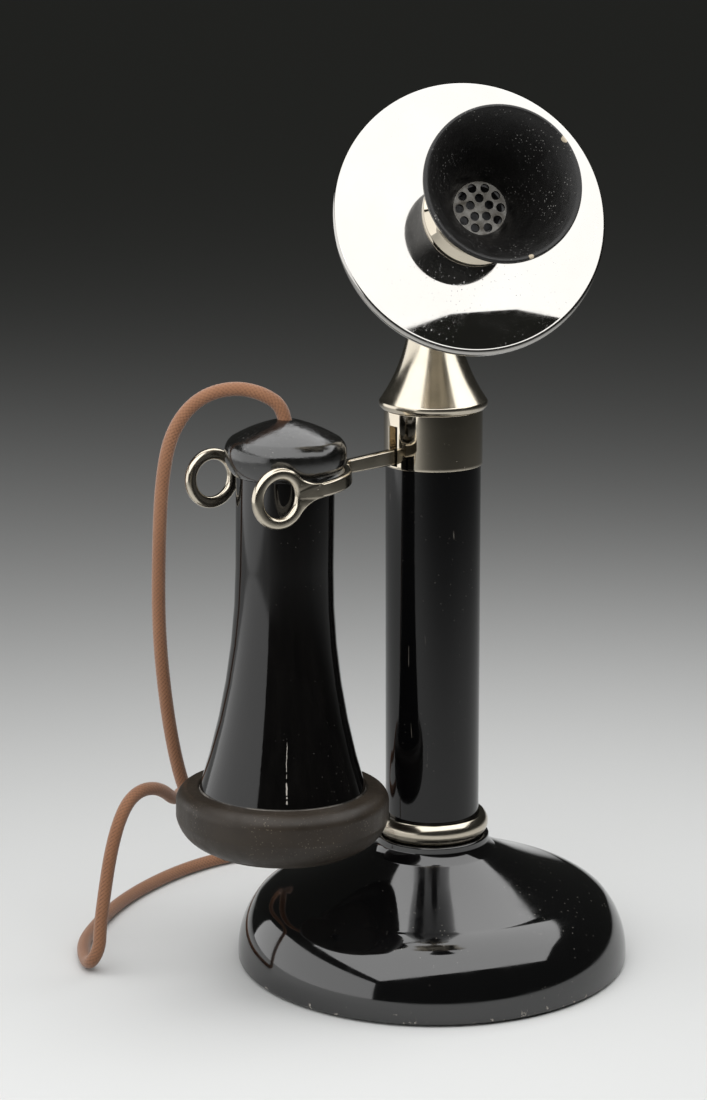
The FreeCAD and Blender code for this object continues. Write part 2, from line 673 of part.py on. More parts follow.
head_turn = cell("head_turn", 22.9, "how far the head is turned towards the receiver, in degrees")
head_gap = cell("head_gap", 0.2, "clearance between the head and the collar")
spigot_length = cell("spigot_length", 3.5, "length of the head's spigot in the collar")
cone_rim_r = cell("cone_rim_r", 18.0, "radius of the cone's rim")
cone_foot_r = cell("cone_foot_r", 17.0, "radius of the cone's lower edge")
rim_low = cell("rim_low", 1.5, "height of the rim's lower edge on the cone")
rim_high = cell("rim_high", 2.8, "height of the rim's upper edge on the cone")
waist_r = cell("waist_r", 17.2, "radius where the cone's hollow curve starts")
waist_height = cell("waist_height", 4.0, "height where the cone's hollow curve starts")
cone_top_r = cell("cone_top_r", 8.5, "radius of the cone's top")
cone_height = cell("cone_height", 26.0, "height of the cone above the collar")
cone_arc = cell("cone_arc", 56.0, "radius of the cone's hollow curve")
cone_bore_r = cell("cone_bore_r", 5.0, "bore of the cone for the wires")
tilt_rise = cell("tilt_rise", 11.0, "height of the tilt screw above the cone")
tilt_r = cell("tilt_r", 2.0, "radius of the tilt screw")
ear_inside = cell("ear_inside", 4.2, "half of the space between the cone's ears")
ear_t = cell("ear_t", 3.0, "thickness of an ear")
ear_r = cell("ear_r", 6.0, "radius of an ear's rounded top")
tilt_head_r = cell("tilt_head_r", 4.2, "radius of the tilt screw's head")
tilt_head_t = cell("tilt_head_t", 2.6, "thickness of the tilt screw's head")
tilt_nut_r = cell("tilt_nut_r", 5.2, "radius of the tilt nut")
tilt_nut_t = cell("tilt_nut_t", 3.4, "thickness of the tilt nut")

head_place = FreeCAD.Placement(
    FreeCAD.Vector(0, 0, 0), FreeCAD.Rotation(FreeCAD.Vector(0, 0, 1), -head_turn.value))
cone_low = collar_top + head_gap
cone_high = collar_top + cone_height
tilt_z = cone_high + tilt_rise
spigot_r = collar_bore_r - running_gap * 1.6
head_cone = new_body("head_cone")
revolve(head_cone, [
    (cone_bore_r, collar_top - spigot_length), (spigot_r, collar_top - spigot_length),
    (spigot_r, cone_low), (cone_foot_r, cone_low), (cone_rim_r, collar_top + rim_low),
    (cone_rim_r, collar_top + rim_high), (waist_r, collar_top + waist_height, -cone_arc),
    (cone_top_r, cone_high), (0, cone_high), (0, cone_high - 5), (cone_bore_r, cone_high - 8)])
for side in (-1, 1):
    ear_low = ear_inside if side > 0 else -(ear_inside + ear_t)
    ear = new_sketch(head_cone, "YZ_Plane", ear_low)
    draw(ear, [(-ear_r, cone_high - 3), (ear_r, cone_high - 3), (ear_r, tilt_z, ear_r),
               (0, tilt_z + ear_r, ear_r), (-ear_r, tilt_z)])
    pad(head_cone, ear, ear_t)
ear_holes = new_sketch(head_cone, "YZ_Plane")
draw_circle(ear_holes, 0, tilt_z, tilt_r + running_gap)
pocket(head_cone, ear_holes, (ear_inside + ear_t) * 2 + 2, both=True)
node(head_cone, head_place)

ear_outside = ear_inside + ear_t
cross = FreeCAD.Placement(
    FreeCAD.Vector(0, 0, tilt_z.value), FreeCAD.Rotation(FreeCAD.Vector(0, 1, 0), 90))
tilt_screw = turned("tilt_screw", [
    (0, -ear_outside - tilt_nut_t), (tilt_r, -ear_outside - tilt_nut_t), (tilt_r, ear_outside),
    (tilt_head_r, ear_outside), (tilt_head_r, ear_outside + tilt_head_t * 0.5),
    (tilt_head_r * 0.6, ear_outside + tilt_head_t), (0, ear_outside + tilt_head_t)])
node(tilt_screw, head_place.multiply(cross))
tilt_nut = turned("tilt_nut", [
    (tilt_r + running_gap, -ear_outside - tilt_nut_t),
    (tilt_nut_r * 0.8, -ear_outside - tilt_nut_t),
    (tilt_nut_r, -ear_outside - tilt_nut_t * 0.7), (tilt_nut_r, -ear_outside),
    (tilt_r + running_gap, -ear_outside)])
node(tilt_nut, head_place.multiply(cross))

# ---------------------------------------------------------------- transmitter
# Made facing +Z, with the plane of its rim at Z = 0 and +Y its upper side.

tilt_up = cell("tilt_up", 19.9, "how far the transmitter faces up, in degrees")
arm_length = cell("arm_length", 23.9, "distance of the tilt screw behind the back cup")
pivot_drop = cell("pivot_drop", 12.1, "distance of the tilt screw below the transmitter's axis")
face_t = cell("face_t", 1.2, "thickness of the face plate")
dome_r = cell("dome_r", 41.2, "radius of the face plate's dome")
dome_rise = cell("dome_rise", 5.0, "rise of the face plate's dome")
rim_width = cell("rim_width", 1.8, "width of the face plate's rolled rim")
rim_front = cell("rim_front", 0.4, "how far the dome's edge stands before the rim's plane")
rim_depth = cell("rim_depth", 2.6, "depth of the rolled rim behind the rim's plane")
rim_round = cell("rim_round", 1.6, "rounding of the rolled rim")
mouth_hole_r = cell("mouth_hole_r", 12.7, "radius of the face plate's middle hole")
cup_flange_t = cell("cup_flange_t", 1.4, "thickness of the back cup's flange")
cup_flange_front = cell("cup_flange_front", 1.0, "how far the flange lies behind the rim's plane")
flange_width = cell("flange_width", 8.2, "width of the back cup's flange")
cup_narrowing = cell("cup_narrowing", 9.0, "how much narrower the back cup's flat back is")
cup_depth = cell("cup_depth", 34.0, "depth of the back cup")
cup_corner = cell("cup_corner", 9.5, "radius of the back cup's corner")
cup_wall = cell("cup_wall", 1.2, "wall of the back cup")
ferrule_r = cell("ferrule_r", 16.5, "outer radius of the ferrule")
ferrule_height = cell("ferrule_height", 7.1, "height of the ferrule on the face plate")
ferrule_bore_r = cell("ferrule_bore_r", 11.6, "bore of the ferrule")
outlet_r = cell("outlet_r", 23.9, "outer radius of the mouthpiece's lip")
bell_length = cell("bell_length", 30.0, "length of the mouthpiece's bell")
mouth_wall = cell("mouth_wall", 1.7, "wall of the mouthpiece")
mouth_throat_r = cell("mouth_throat_r", 8.35, "radius of the bell at its perforated plate")
throat_outer_r = cell("throat_outer_r", 13.2, "outer radius of the bell where it leaves the ferrule")
bell_arc = cell("bell_arc", 78.0, "radius of the bell's flare")
grille_t = cell("grille_t", 1.2, "thickness of the perforated plate")
grille_hole_r = cell("grille_hole_r", 1.4, "radius of a hole of the perforated plate")
grille_outer_circle = cell("grille_outer_circle", 6.45, "radius of its outer circle of holes")
grille_inner_circle = cell("grille_inner_circle", 3.1, "radius of its inner circle of holes")
fit_gap = cell("fit_gap", 0.05, "clearance between pieces screwed together")

face_r = dome_r + rim_width
cup_r = dome_r - flange_width
cup_base_r = cup_r - cup_narrowing
pivot_back = cup_depth + arm_length
pivot = FreeCAD.Placement(FreeCAD.Vector(0, 0, tilt_z.value), FreeCAD.Rotation())
facing = FreeCAD.Placement(
    FreeCAD.Vector(0, 0, 0), FreeCAD.Rotation(FreeCAD.Vector(1, 0, 0), 90 - tilt_up.value))
from_pivot = FreeCAD.Placement(
    FreeCAD.Vector(0, pivot_drop.value, pivot_back.value), FreeCAD.Rotation())
transmitter_place = head_place.multiply(pivot).multiply(facing).multiply(from_pivot)

# The dome is part of a sphere, whose radius follows from its rise.
dome_arc = (dome_r * dome_r + dome_rise * dome_rise) / (dome_rise * 2)


def dome_front(radius):
    """Height of the face plate's front at a radius, on the parabola that fits its sphere."""
    return rim_front + dome_rise - radius * radius / (dome_arc * 2)


def dome_back(radius):
    """Height of the face plate's back at a radius."""
    return dome_front(radius) - face_t


CUP_SCREW_COUNT = 3
cup_screw_r = cell("cup_screw_r", 1.1, "radius of a cup screw")
cup_screw_inset = cell("cup_screw_inset", 4.4, "distance of the cup screws from the dome's edge")
lug_r = cell("lug_r", 2.7, "radius of a screw lug behind the face plate")
cup_screw_circle = dome_r - cup_screw_inset
face_plate = new_body("face_plate")
rim_edge = dome_r + 0.1
revolve(face_plate, [
    (mouth_hole_r, dome_back(mouth_hole_r), -(dome_arc - face_t)), (dome_r, dome_back(dome_r)),
    (rim_edge, -rim_depth), (face_r - 0.6, -rim_depth), (face_r, -rim_depth + 0.6),
    (face_r, rim_front - rim_round, rim_round + 0.2), (dome_r, rim_front, dome_arc),
    (mouth_hole_r, dome_front(mouth_hole_r))])
face_lugs = new_sketch(face_plate, "XY_Plane", -cup_flange_front)
for cosine, sine in around(CUP_SCREW_COUNT, 90):
    draw_circle(face_lugs, cup_screw_circle * cosine, cup_screw_circle * sine, lug_r)
pad(face_plate, face_lugs, dome_back(cup_screw_circle) + cup_flange_front + 0.6)
lug_holes = new_sketch(face_plate, "XY_Plane", -cup_flange_front)
for cosine, sine in around(CUP_SCREW_COUNT, 90):
    draw_circle(lug_holes, cup_screw_circle * cosine, cup_screw_circle * sine, cup_screw_r + 0.05)
pocket(face_plate, lug_holes, dome_back(cup_screw_circle) + cup_flange_front, ahead=True)
node(face_plate, transmitter_place)

flange_back = -cup_flange_front - cup_flange_t
cup_inner_r = cup_r - cup_wall
lug_pitch = cell("lug_pitch", 12.0, "distance between the lug's screws")
lug_lift = cell("lug_lift", 8.0, "how far the lug's foot lies below the transmitter's axis")
lug_screw_r = cell("lug_screw_r", 1.2, "radius of a lug screw")
back_cup = new_body("back_cup")
revolve(back_cup, [
    (0, -cup_depth), (cup_base_r, -cup_depth, cup_corner), (cup_r, -cup_depth + cup_corner),
    (cup_r, flange_back), (dome_r, flange_back), (dome_r, -cup_flange_front),
    (cup_inner_r, -cup_flange_front), (cup_inner_r, -cup_depth + cup_corner, -(cup_corner - cup_wall)),
    (cup_base_r, -cup_depth + cup_wall), (0, -cup_depth + cup_wall)])
flange_holes = new_sketch(back_cup, "XY_Plane", flange_back)
for cosine, sine in around(CUP_SCREW_COUNT, 90):
    draw_circle(flange_holes, cup_screw_circle * cosine, cup_screw_circle * sine, cup_screw_r + 0.05)
pocket(back_cup, flange_holes, cup_flange_t, ahead=True)
cup_lug_holes = new_sketch(back_cup, "XY_Plane", -cup_depth)
for side in (-1, 1):
    draw_circle(cup_lug_holes, lug_pitch * side / 2, -lug_lift, lug_screw_r + 0.05)
pocket(back_cup, cup_lug_holes, cup_wall, ahead=True)
node(back_cup, transmitter_place)

cup_screws = []
for cosine, sine in around(CUP_SCREW_COUNT, 90):
    cup_screw = screw("cup_screw", cup_screw_r * 1.9, cup_screw_r * 1.2, cup_screw_r, cup_flange_t + 0.6)
    cup_screws.append(put(cup_screw, cup_screw_circle * cosine, cup_screw_circle * sine, flange_back,
                          axis=(1, 0, 0), angle=180))
node(group("cup_screws", cup_screws), transmitter_place)

foot_r = cell("foot_r", 10.0, "radius of the lug's foot on the cup")
foot_t = cell("foot_t", 3.0, "thickness of the lug's foot")
lug_t = cell("lug_t", 8.0, "thickness of the lug between the ears")
lug_eye_r = cell("lug_eye_r", 6.0, "radius of the lug's eye")
transmitter_lug = new_body("transmitter_lug")
lug_foot = new_sketch(transmitter_lug, "XY_Plane", -cup_depth)
draw_circle(lug_foot, 0, -lug_lift, foot_r)
pad(transmitter_lug, lug_foot, foot_t, back=True)
lug_arm = new_sketch(transmitter_lug, "YZ_Plane")
draw(lug_arm, [(-lug_lift + foot_r * 0.6, -cup_depth - foot_t / 2),
               (-lug_lift - foot_r * 0.8, -cup_depth - foot_t / 2),
               (-pivot_drop - lug_eye_r, -pivot_back), (-pivot_drop + lug_eye_r, -pivot_back)])
pad(transmitter_lug, lug_arm, lug_t, both=True)
lug_eye = new_sketch(transmitter_lug, "YZ_Plane")
draw_circle(lug_eye, -pivot_drop, -pivot_back, lug_eye_r)
pad(transmitter_lug, lug_eye, lug_t, both=True)
lug_bore = new_sketch(transmitter_lug, "YZ_Plane")
draw_circle(lug_bore, -pivot_drop, -pivot_back, tilt_r + running_gap)
pocket(transmitter_lug, lug_bore, lug_t + 2, both=True)
foot_holes = new_sketch(transmitter_lug, "XY_Plane", -cup_depth)
for side in (-1, 1):
    draw_circle(foot_holes, lug_pitch * side / 2, -lug_lift, lug_screw_r + 0.05)
pocket(transmitter_lug, foot_holes, foot_t + 1)
node(transmitter_lug, transmitter_place)
lug_screws = []
for side in (-1, 1):
    lug_screw = screw("lug_screw", lug_screw_r * 1.5, lug_screw_r, lug_screw_r, foot_t + cup_wall + 0.5)
    lug_screws.append(put(lug_screw, lug_pitch * side / 2, -lug_lift, -cup_depth - foot_t,
                          axis=(1, 0, 0), angle=180))
node(group("lug_screws", lug_screws), transmitter_place)

ferrule_low = dome_back(mouth_hole_r) - 0.6
ferrule_seat = dome_front(mouth_hole_r)
ferrule_front = ferrule_seat + ferrule_height
outlet_front = ferrule_front + bell_length
ferrule_inner_r = mouth_hole_r - fit_gap
node(turned("mouthpiece_ferrule", [
    (ferrule_bore_r, ferrule_low), (ferrule_inner_r, ferrule_low), (ferrule_inner_r, ferrule_seat),
    (ferrule_r, ferrule_seat), (ferrule_r, ferrule_seat + 2.2),
    (ferrule_r - 1.6, ferrule_seat + 4.2, -6), (throat_outer_r + 0.6, ferrule_front),
    (ferrule_bore_r, ferrule_front)]), transmitter_place)

throat_r = ferrule_bore_r - fit_gap
ledge_under_grille = ferrule_front - grille_t
lip_height = 1.6
node(turned("mouthpiece", [
    (mouth_throat_r - 1.4, ferrule_low), (throat_r, ferrule_low), (throat_r, ferrule_front),
    (throat_outer_r, ferrule_front, -bell_arc), (outlet_r - 0.8, outlet_front - 4),
    (outlet_r, outlet_front - lip_height), (outlet_r, outlet_front - 0.5, 0.7),
    (outlet_r - 0.8, outlet_front), (outlet_r - mouth_wall, outlet_front - 0.6, bell_arc - mouth_wall),
    (mouth_throat_r, ferrule_front), (mouth_throat_r, ledge_under_grille),
    (mouth_throat_r - 1.4, ledge_under_grille)]), transmitter_place)

grille_holes = []
for count, circle, first in ((10, grille_outer_circle, 72), (5, grille_inner_circle, 90)):
    for cosine, sine in around(count, first):
        grille_holes.append((circle * cosine, circle * sine, grille_hole_r))
grille = disc("mouthpiece_grille", mouth_throat_r - fit_gap, ledge_under_grille, grille_t, grille_holes)
node(grille, transmitter_place)

bridge_t = cell("bridge_t", 0.7, "thickness of the bridge that carries the button")
bridge_width = cell("bridge_width", 11.0, "width of the bridge")
bridge_inset = cell("bridge_inset", 5.2, "distance of the bridge's end from the dome's edge")
button_r = cell("button_r", 9.0, "radius of the carbon button's cup")
button_depth = cell("button_depth", 12.0, "depth of the carbon button's cup")
electrode_r = cell("electrode_r", 2.0, "radius of the button's front pin")
diaphragm_inset = cell("diaphragm_inset", 3.0, "distance of the diaphragm's edge within the back cup")
diaphragm_t = cell("diaphragm_t", 0.4, "thickness of the transmitter's diaphragm")
gasket_width = cell("gasket_width", 2.6, "width of the diaphragm's rubber ring")
bridge_half = dome_r - bridge_inset
diaphragm_r = cup_r - diaphragm_inset
bridge_low = -cup_flange_front
bridge_top = bridge_low + bridge_t
diaphragm_low = bridge_top + 0.3
diaphragm_top = diaphragm_low + diaphragm_t
node(plate("button_bridge", "XY_Plane", bridge_low, bridge_t,
           rectangle(-bridge_half, -bridge_width / 2, bridge_half, bridge_width / 2),
           [(0, 0, electrode_r + 0.5)]), transmitter_place)
node(turned("carbon_button", [
    (0, bridge_low - button_depth), (button_r * 0.7, bridge_low - button_depth),
    (button_r * 0.7, bridge_low - button_depth * 0.7), (button_r, bridge_low - button_depth * 0.7),
    (button_r, bridge_low), (electrode_r, bridge_low), (electrode_r, diaphragm_low),
    (0, diaphragm_low)]), transmitter_place)
node(bar("transmitter_diaphragm", diaphragm_r, diaphragm_low, diaphragm_top), transmitter_place)
gasket_top = dome_back(diaphragm_r) - 0.1
node(turned("diaphragm_gasket", rectangle(diaphragm_r - gasket_width, diaphragm_top,
                                          diaphragm_r, gasket_top)), transmitter_place)
spring_in = cell("spring_in", 13.0, "how near the axis a damping spring reaches")
spring_inset = cell("spring_inset", 3.5, "distance of a damping spring's end from the diaphragm's edge")
spring_width = cell("spring_width", 5.0, "width of a damping spring")
spring_out = diaphragm_r - spring_inset
damping_springs = []
for side in (-1, 1):
    low, high = (spring_in, spring_out) if side > 0 else (-spring_out, -spring_in)
    damping_springs.append(plate("damping_spring", "XY_Plane", diaphragm_top, leaf_t,
                                 rectangle(low, -spring_width / 2, high, spring_width / 2)))
node(group("damping_springs", damping_springs), transmitter_place)

# ---------------------------------------------------------------- receiver
# Made upright about Z, with the top of its shell at Z = 0, and hung by its cap in the fork.

shell_neck_r = cell("shell_neck_r", 15.9, "radius of the receiver's neck")
neck_length = cell("neck_length", 30.0, "length of the receiver's straight neck")
flare_length = cell("flare_length", 74.6, "length of the receiver's flare")
flare_r = cell("flare_r", 27.5, "radius of the flare's lower end")
shell_wall = cell("shell_wall", 2.2, "wall of the receiver shell")
skirt_length = cell("skirt_length", 10.9, "length of the shell inside the ear cap")
skirt_in = cell("skirt_in", 0.3, "how far the skirt lies inside the flare's end")
ledge_rise = cell("ledge_rise", 9.1, "height of the coil plate's ledge above the shell's lower end")
thread_gap = cell("thread_gap", 0.15, "clearance between the shell and its caps")
cap_widest_r = cell("cap_widest_r", 19.6, "widest radius of the receiver's top cap")
cap_widest = cell("cap_widest", 7.8, "height of the top cap's widest place")
cap_under_arc = cell("cap_under_arc", 9.8, "radius of the curve under the top cap")
cap_shoulder_in = cell("cap_shoulder_in", 2.2, "how far the top cap's shoulder lies inside its side")
cap_shoulder = cell("cap_shoulder", 4.4, "height of the top cap's shoulder above its widest place")
cap_crown = cell("cap_crown", 6.0, "height of the top cap's crown above its shoulder")
cap_side_arc = cell("cap_side_arc", 5.5, "radius of the curve at the top cap's side")
cap_crown_arc = cell("cap_crown_arc", 50.0, "radius of the top cap's crown")
cap_spigot = cell("cap_spigot", 6.0, "length of the top cap's spigot in the shell")
cord_hole_depth = cell("cord_hole_depth", 5.2, "depth of the cord's hole in the top cap")
cord_r = cell("cord_r", 2.3, "radius of the receiver cord")
cord_gap = cell("cord_gap", 0.3, "clearance of the cord in its hole")
seat_gap = cell("seat_gap", 0.3, "clearance between the hung receiver and the fork")
lean = cell("lean", 1.2, "how far the hung receiver leans away from the column, in degrees")

flare_low = -(neck_length + flare_length)
shell_foot = flare_low - skirt_length
plate_ledge = shell_foot + ledge_rise
cap_top = cap_widest + cap_shoulder + cap_crown
cap_edge_r = shell_neck_r + 0.5


def under_cap(radius):
    """Height at which the rounded underside of the top cap reaches a radius."""
    start = FreeCAD.Vector(cap_edge_r.value, 0, 0)
    end = FreeCAD.Vector(cap_widest_r.value, cap_widest.value, 0)
    curve = arc_between(start, end, cap_under_arc.value)
    across = radius - curve.Center.x
    return curve.Center.y - math.sqrt(curve.Radius ** 2 - across ** 2)


yoke_top = hook_place.multVec(FreeCAD.Vector(
    (fork_centre + fork_inside).value, 0, prong_height.value / 2))
LEAN_SLOPE = math.tan(math.radians(lean.value))
beside_yoke = (fork_inside - seat_gap).value
seat_r = beside_yoke - under_cap(beside_yoke) * LEAN_SLOPE
receiver_z = yoke_top.z + seat_gap.value - under_cap(seat_r) + seat_r * LEAN_SLOPE
hang = {"across": -reach, "up": receiver_z, "axis": (0, 1, 0), "angle": lean.value}

flare_arc = (flare_length * flare_length
             + (flare_r - shell_neck_r) * (flare_r - shell_neck_r)) / ((flare_r - shell_neck_r) * 2)
skirt_r = flare_r - skirt_in
bore_r = shell_neck_r - shell_wall
skirt_bore_r = skirt_r - shell_wall
ledge_bore_r = skirt_bore_r - 1.4
node(put(turned("receiver_shell", [
    (skirt_bore_r, shell_foot), (skirt_r, shell_foot), (skirt_r, flare_low),
    (flare_r, flare_low, -flare_arc), (shell_neck_r, -neck_length), (shell_neck_r, 0),
    (bore_r, 0), (bore_r, -neck_length, flare_arc + shell_wall),
    (ledge_bore_r, plate_ledge + 4), (ledge_bore_r, plate_ledge),
    (skirt_bore_r, plate_ledge)]), **hang))

cap_spigot_r = bore_r - thread_gap
cord_hole_r = cord_r + cord_gap
node(put(turned("receiver_cap", [
    (0, -cap_spigot), (cap_spigot_r, -cap_spigot), (cap_spigot_r, 0),
    (cap_edge_r, 0, cap_under_arc), (cap_widest_r, cap_widest, cap_side_arc),
    (cap_widest_r - cap_shoulder_in, cap_widest + cap_shoulder, cap_crown_arc),
    (cord_hole_r, cap_top), (cord_hole_r, cap_top - cord_hole_depth),
    (0, cap_top - cord_hole_depth)]), **hang))

ear_out = cell("ear_out", 7.5, "how far the ear cap's side stands outside the flare")
ear_rise = cell("ear_rise", 1.0, "height of the ear cap's top above the flare's end")
ear_round = cell("ear_round", 5.0, "height of the ear cap's rounded upper edge")
ear_side = cell("ear_side", 4.8, "height of the ear cap's upright side")
ear_taper = cell("ear_taper", 9.2, "height of the ear cap's lower curve")
ear_lip_height = cell("ear_lip_height", 1.0, "height of the ear cap's lip band")
ear_lip_in = cell("ear_lip_in", 8.4, "how far the lip lies inside the ear cap's side")
ear_under_arc = cell("ear_under_arc", 12.5, "radius of the ear cap's lower curve")
ear_shoulder_arc = cell("ear_shoulder_arc", 4.6, "radius of the ear cap's upper curve")
dish_rim = cell("dish_rim", 3.0, "width of the lip round the dish for the ear")
dish_depth = cell("dish_depth", 4.4, "depth of the dish")
dish_arc = cell("dish_arc", 65.0, "radius of the dish's curve")
ear_hole_r = cell("ear_hole_r", 4.6, "radius of the hole for the sound")
iron_t = cell("iron_t", 0.4, "thickness of the receiver's diaphragm")
iron_room = cell("iron_room", 1.7, "room for the receiver's diaphragm to swing")
ear_bore_r = skirt_r + thread_gap
ear_mouth_r = flare_r + thread_gap
ear_r = flare_r + ear_out
ear_lip_r = ear_r - ear_lip_in
ear_top = flare_low + ear_rise
ear_side_high = ear_top - ear_round
ear_side_low = ear_side_high - ear_side
ear_lip_low = ear_side_low - ear_taper - ear_lip_height
seat_height = shell_foot - iron_t
ear_floor = seat_height - iron_room
node(put(turned("ear_cap", [
    (ear_lip_r - dish_rim, ear_lip_low), (ear_lip_r - 0.8, ear_lip_low),
    (ear_lip_r, ear_lip_low + 0.9), (ear_lip_r + 0.6, ear_lip_low + ear_lip_height, ear_under_arc),
    (ear_r, ear_side_low), (ear_r, ear_side_high, ear_shoulder_arc),
    (ear_r - 3.6, ear_top - 0.3), (ear_mouth_r + 0.4, ear_top), (ear_mouth_r, ear_top - 0.4),
    (ear_mouth_r, flare_low - 0.2), (ear_bore_r, flare_low - 0.2), (ear_bore_r, seat_height),
    (ear_bore_r - 2.2, seat_height), (ear_bore_r - 2.2, ear_floor), (ear_hole_r, ear_floor),
    (ear_hole_r, ear_lip_low + dish_depth, -dish_arc)]), **hang))
node(put(bar("receiver_diaphragm", ear_bore_r - 0.2, seat_height, shell_foot), **hang))

magnet_half = cell("magnet_half", 9.4, "half of the magnet's width")
magnet_inside = cell("magnet_inside", 5.0, "half of the space between the magnet's legs")
magnet_depth = cell("magnet_depth", 8.0, "depth of the magnet")
magnet_length = cell("magnet_length", 87.4, "length of the magnet")
coil_plate_t = cell("coil_plate_t", 1.5, "thickness of the coil plate")
pole_foot_t = cell("pole_foot_t", 2.0, "thickness of a pole piece's foot")
pole_in = cell("pole_in", 3.0, "how near the axis a pole tip stands")
pole_t = cell("pole_t", 2.0, "thickness of a pole tip")
pole_width = cell("pole_width", 10.0, "width of a pole piece")
pole_gap = cell("pole_gap", 0.1, "clearance round a pole tip")
air_gap = cell("air_gap", 0.5, "gap between the poles and the diaphragm")
coil_t = cell("coil_t", 2.2, "winding round a pole tip")
coil_foot = cell("coil_foot", 0.9, "how far a coil stays above the diaphragm")
coil_plate_low = plate_ledge - coil_plate_t
magnet_low = plate_ledge + pole_foot_t
magnet_top = magnet_low + magnet_length
spring_line = magnet_top - magnet_half
magnet = new_body("receiver_magnet")
magnet_sketch = new_sketch(magnet, "XZ_Plane")
draw(magnet_sketch, [
    (-magnet_half, magnet_low), (-magnet_inside, magnet_low),
    (-magnet_inside, spring_line, -magnet_inside),
    (0, spring_line + magnet_inside, -magnet_inside), (magnet_inside, spring_line),
    (magnet_inside, magnet_low), (magnet_half, magnet_low), (magnet_half, spring_line, magnet_half),
    (0, magnet_top, magnet_half), (-magnet_half, spring_line)])
pad(magnet, magnet_sketch, magnet_depth, both=True)
node(put(magnet, **hang))


def pole_window(side, margin, half_depth):
    """A rectangle round the tip of the pole piece on one side of the axis."""
    low = pole_in - margin
    high = pole_in + pole_t + margin
    ends = (low, high) if side > 0 else (-high, -low)
    return rectangle(ends[0], -half_depth, ends[1], half_depth)


poles = []
coils = []
coil_plate = new_body("coil_plate")
coil_plate_sketch = new_sketch(coil_plate, "XY_Plane", coil_plate_low)
draw_circle(coil_plate_sketch, 0, 0, skirt_bore_r - 0.2)
for side in (-1, 1):
    pole = new_body("pole_piece")
    outline = [(pole_in, shell_foot + air_gap), (pole_in + pole_t, shell_foot + air_gap),
               (pole_in + pole_t, plate_ledge), (magnet_half, plate_ledge),
               (magnet_half, magnet_low), (pole_in, magnet_low)]
    pole_sketch = new_sketch(pole, "XZ_Plane")
    draw(pole_sketch, [(across * side, up) for across, up in outline])
    pad(pole, pole_sketch, pole_width, both=True)
    poles.append(pole)
    coil = new_body("receiver_coil")
    coil_sketch = new_sketch(coil, "XY_Plane", shell_foot + coil_foot)
    draw(coil_sketch, pole_window(side, coil_t, pole_width / 2 + coil_t))
    draw(coil_sketch, pole_window(side, pole_gap, pole_width / 2 + pole_gap))
    pad(coil, coil_sketch, coil_plate_low - shell_foot - coil_foot)
    coils.append(coil)
    draw(coil_plate_sketch, pole_window(side, pole_gap, pole_width / 2 + pole_gap))
pad(coil_plate, coil_plate_sketch, coil_plate_t)
node(put(group("pole_pieces", poles), **hang))
node(put(group("receiver_coils", coils), **hang))
node(put(coil_plate, **hang))

post_r = cell("post_r", 2.0, "radius of a terminal post in the receiver")
post_length = cell("post_length", 6.0, "length of a terminal post in the receiver")
post_at = cell("post_at", 7.0, "distance of a terminal post from the receiver's axis")
posts = []
for side in (-1, 1):
    post = bar("receiver_post", post_r, -cap_spigot - post_length, -cap_spigot)
    posts.append(put(post, 0, post_at * side, 0))
node(put(group("receiver_terminals", posts), **hang))

# ---------------------------------------------------------------- receiver cord
# Cotton-braided cord from the top cap, over and down beside the receiver, once round behind the
# ear cap, down to the table and round to the back of the base. Its corners are chosen by hand:
# those that hang are measured from the floor of the cap's hole, those that lie from the origin.

cord_hanging = [
    (0.0, 0.0, 0.0), (0.172, 0.0, 8.2), (-5.7, 4.5, 13.6), (-13.7, 11.2, 15.3), (-21.7, 19.2, 11.1),
    (-27.5, 25.1, 0.4), (-29.7, 28.0, -15.1), (-29.5, 31.2, -38.1), (-28.3, 34.6, -68.1),
    (-23.9, 37.4, -98.1), (-18.7, 38.8, -121.1), (-11.9, 40.4, -135.6), (1.2, 43.8, -144.1),
    (16.2, 51.0, -146.1), (27.3, 64.5, -145.6), (21.7, 78.0, -143.9), (7.7, 82.0, -141.7)]
cord_lying = [
    (-59.7, 71.0, 47.2), (-70.0, 63.2, 55.6), (-78.7, 59.7, 58.2), (-86.0, 57.0, 56.5),
    (-91.8, 54.3, 50.8), (-96.5, 52.2, 40.9), (-100.0, 50.4, 29.3), (-103.0, 49.1, 16.7),
    (-104.0, 48.2, 9.0), (-106.6, 50.9, 2.8), (-102.6, 62.4, 2.5), (-96.0, 73.4, 2.6),
    (-84.0, 85.4, 2.5), (-68.5, 98.4, 2.6), (-50.0, 109.2, 2.5), (-30.0, 116.8, 2.6),
    (-10.0, 119.8, 2.5), (7.5, 115.6, 3.0), (15.5, 103.0, 4.2), (12.0, 89.5, 6.6),
    (2.0, 80.5, 9.3)]
hung = FreeCAD.Placement(FreeCAD.Vector(-reach.value, 0, receiver_z),
                         FreeCAD.Rotation(FreeCAD.Vector(0, 1, 0), lean.value))
hole_floor = hung.multVec(FreeCAD.Vector(0, 0, (cap_top - cord_hole_depth).value))
bushing_face = base_r + bush_stand + bush_flange_t + seat_gap
cord_corners = [hole_floor + FreeCAD.Vector(*corner) for corner in cord_hanging]
cord_corners += [FreeCAD.Vector(*corner) for corner in cord_lying]
cord_corners.append(FreeCAD.Vector(0, bushing_face.value, bush_height.value))


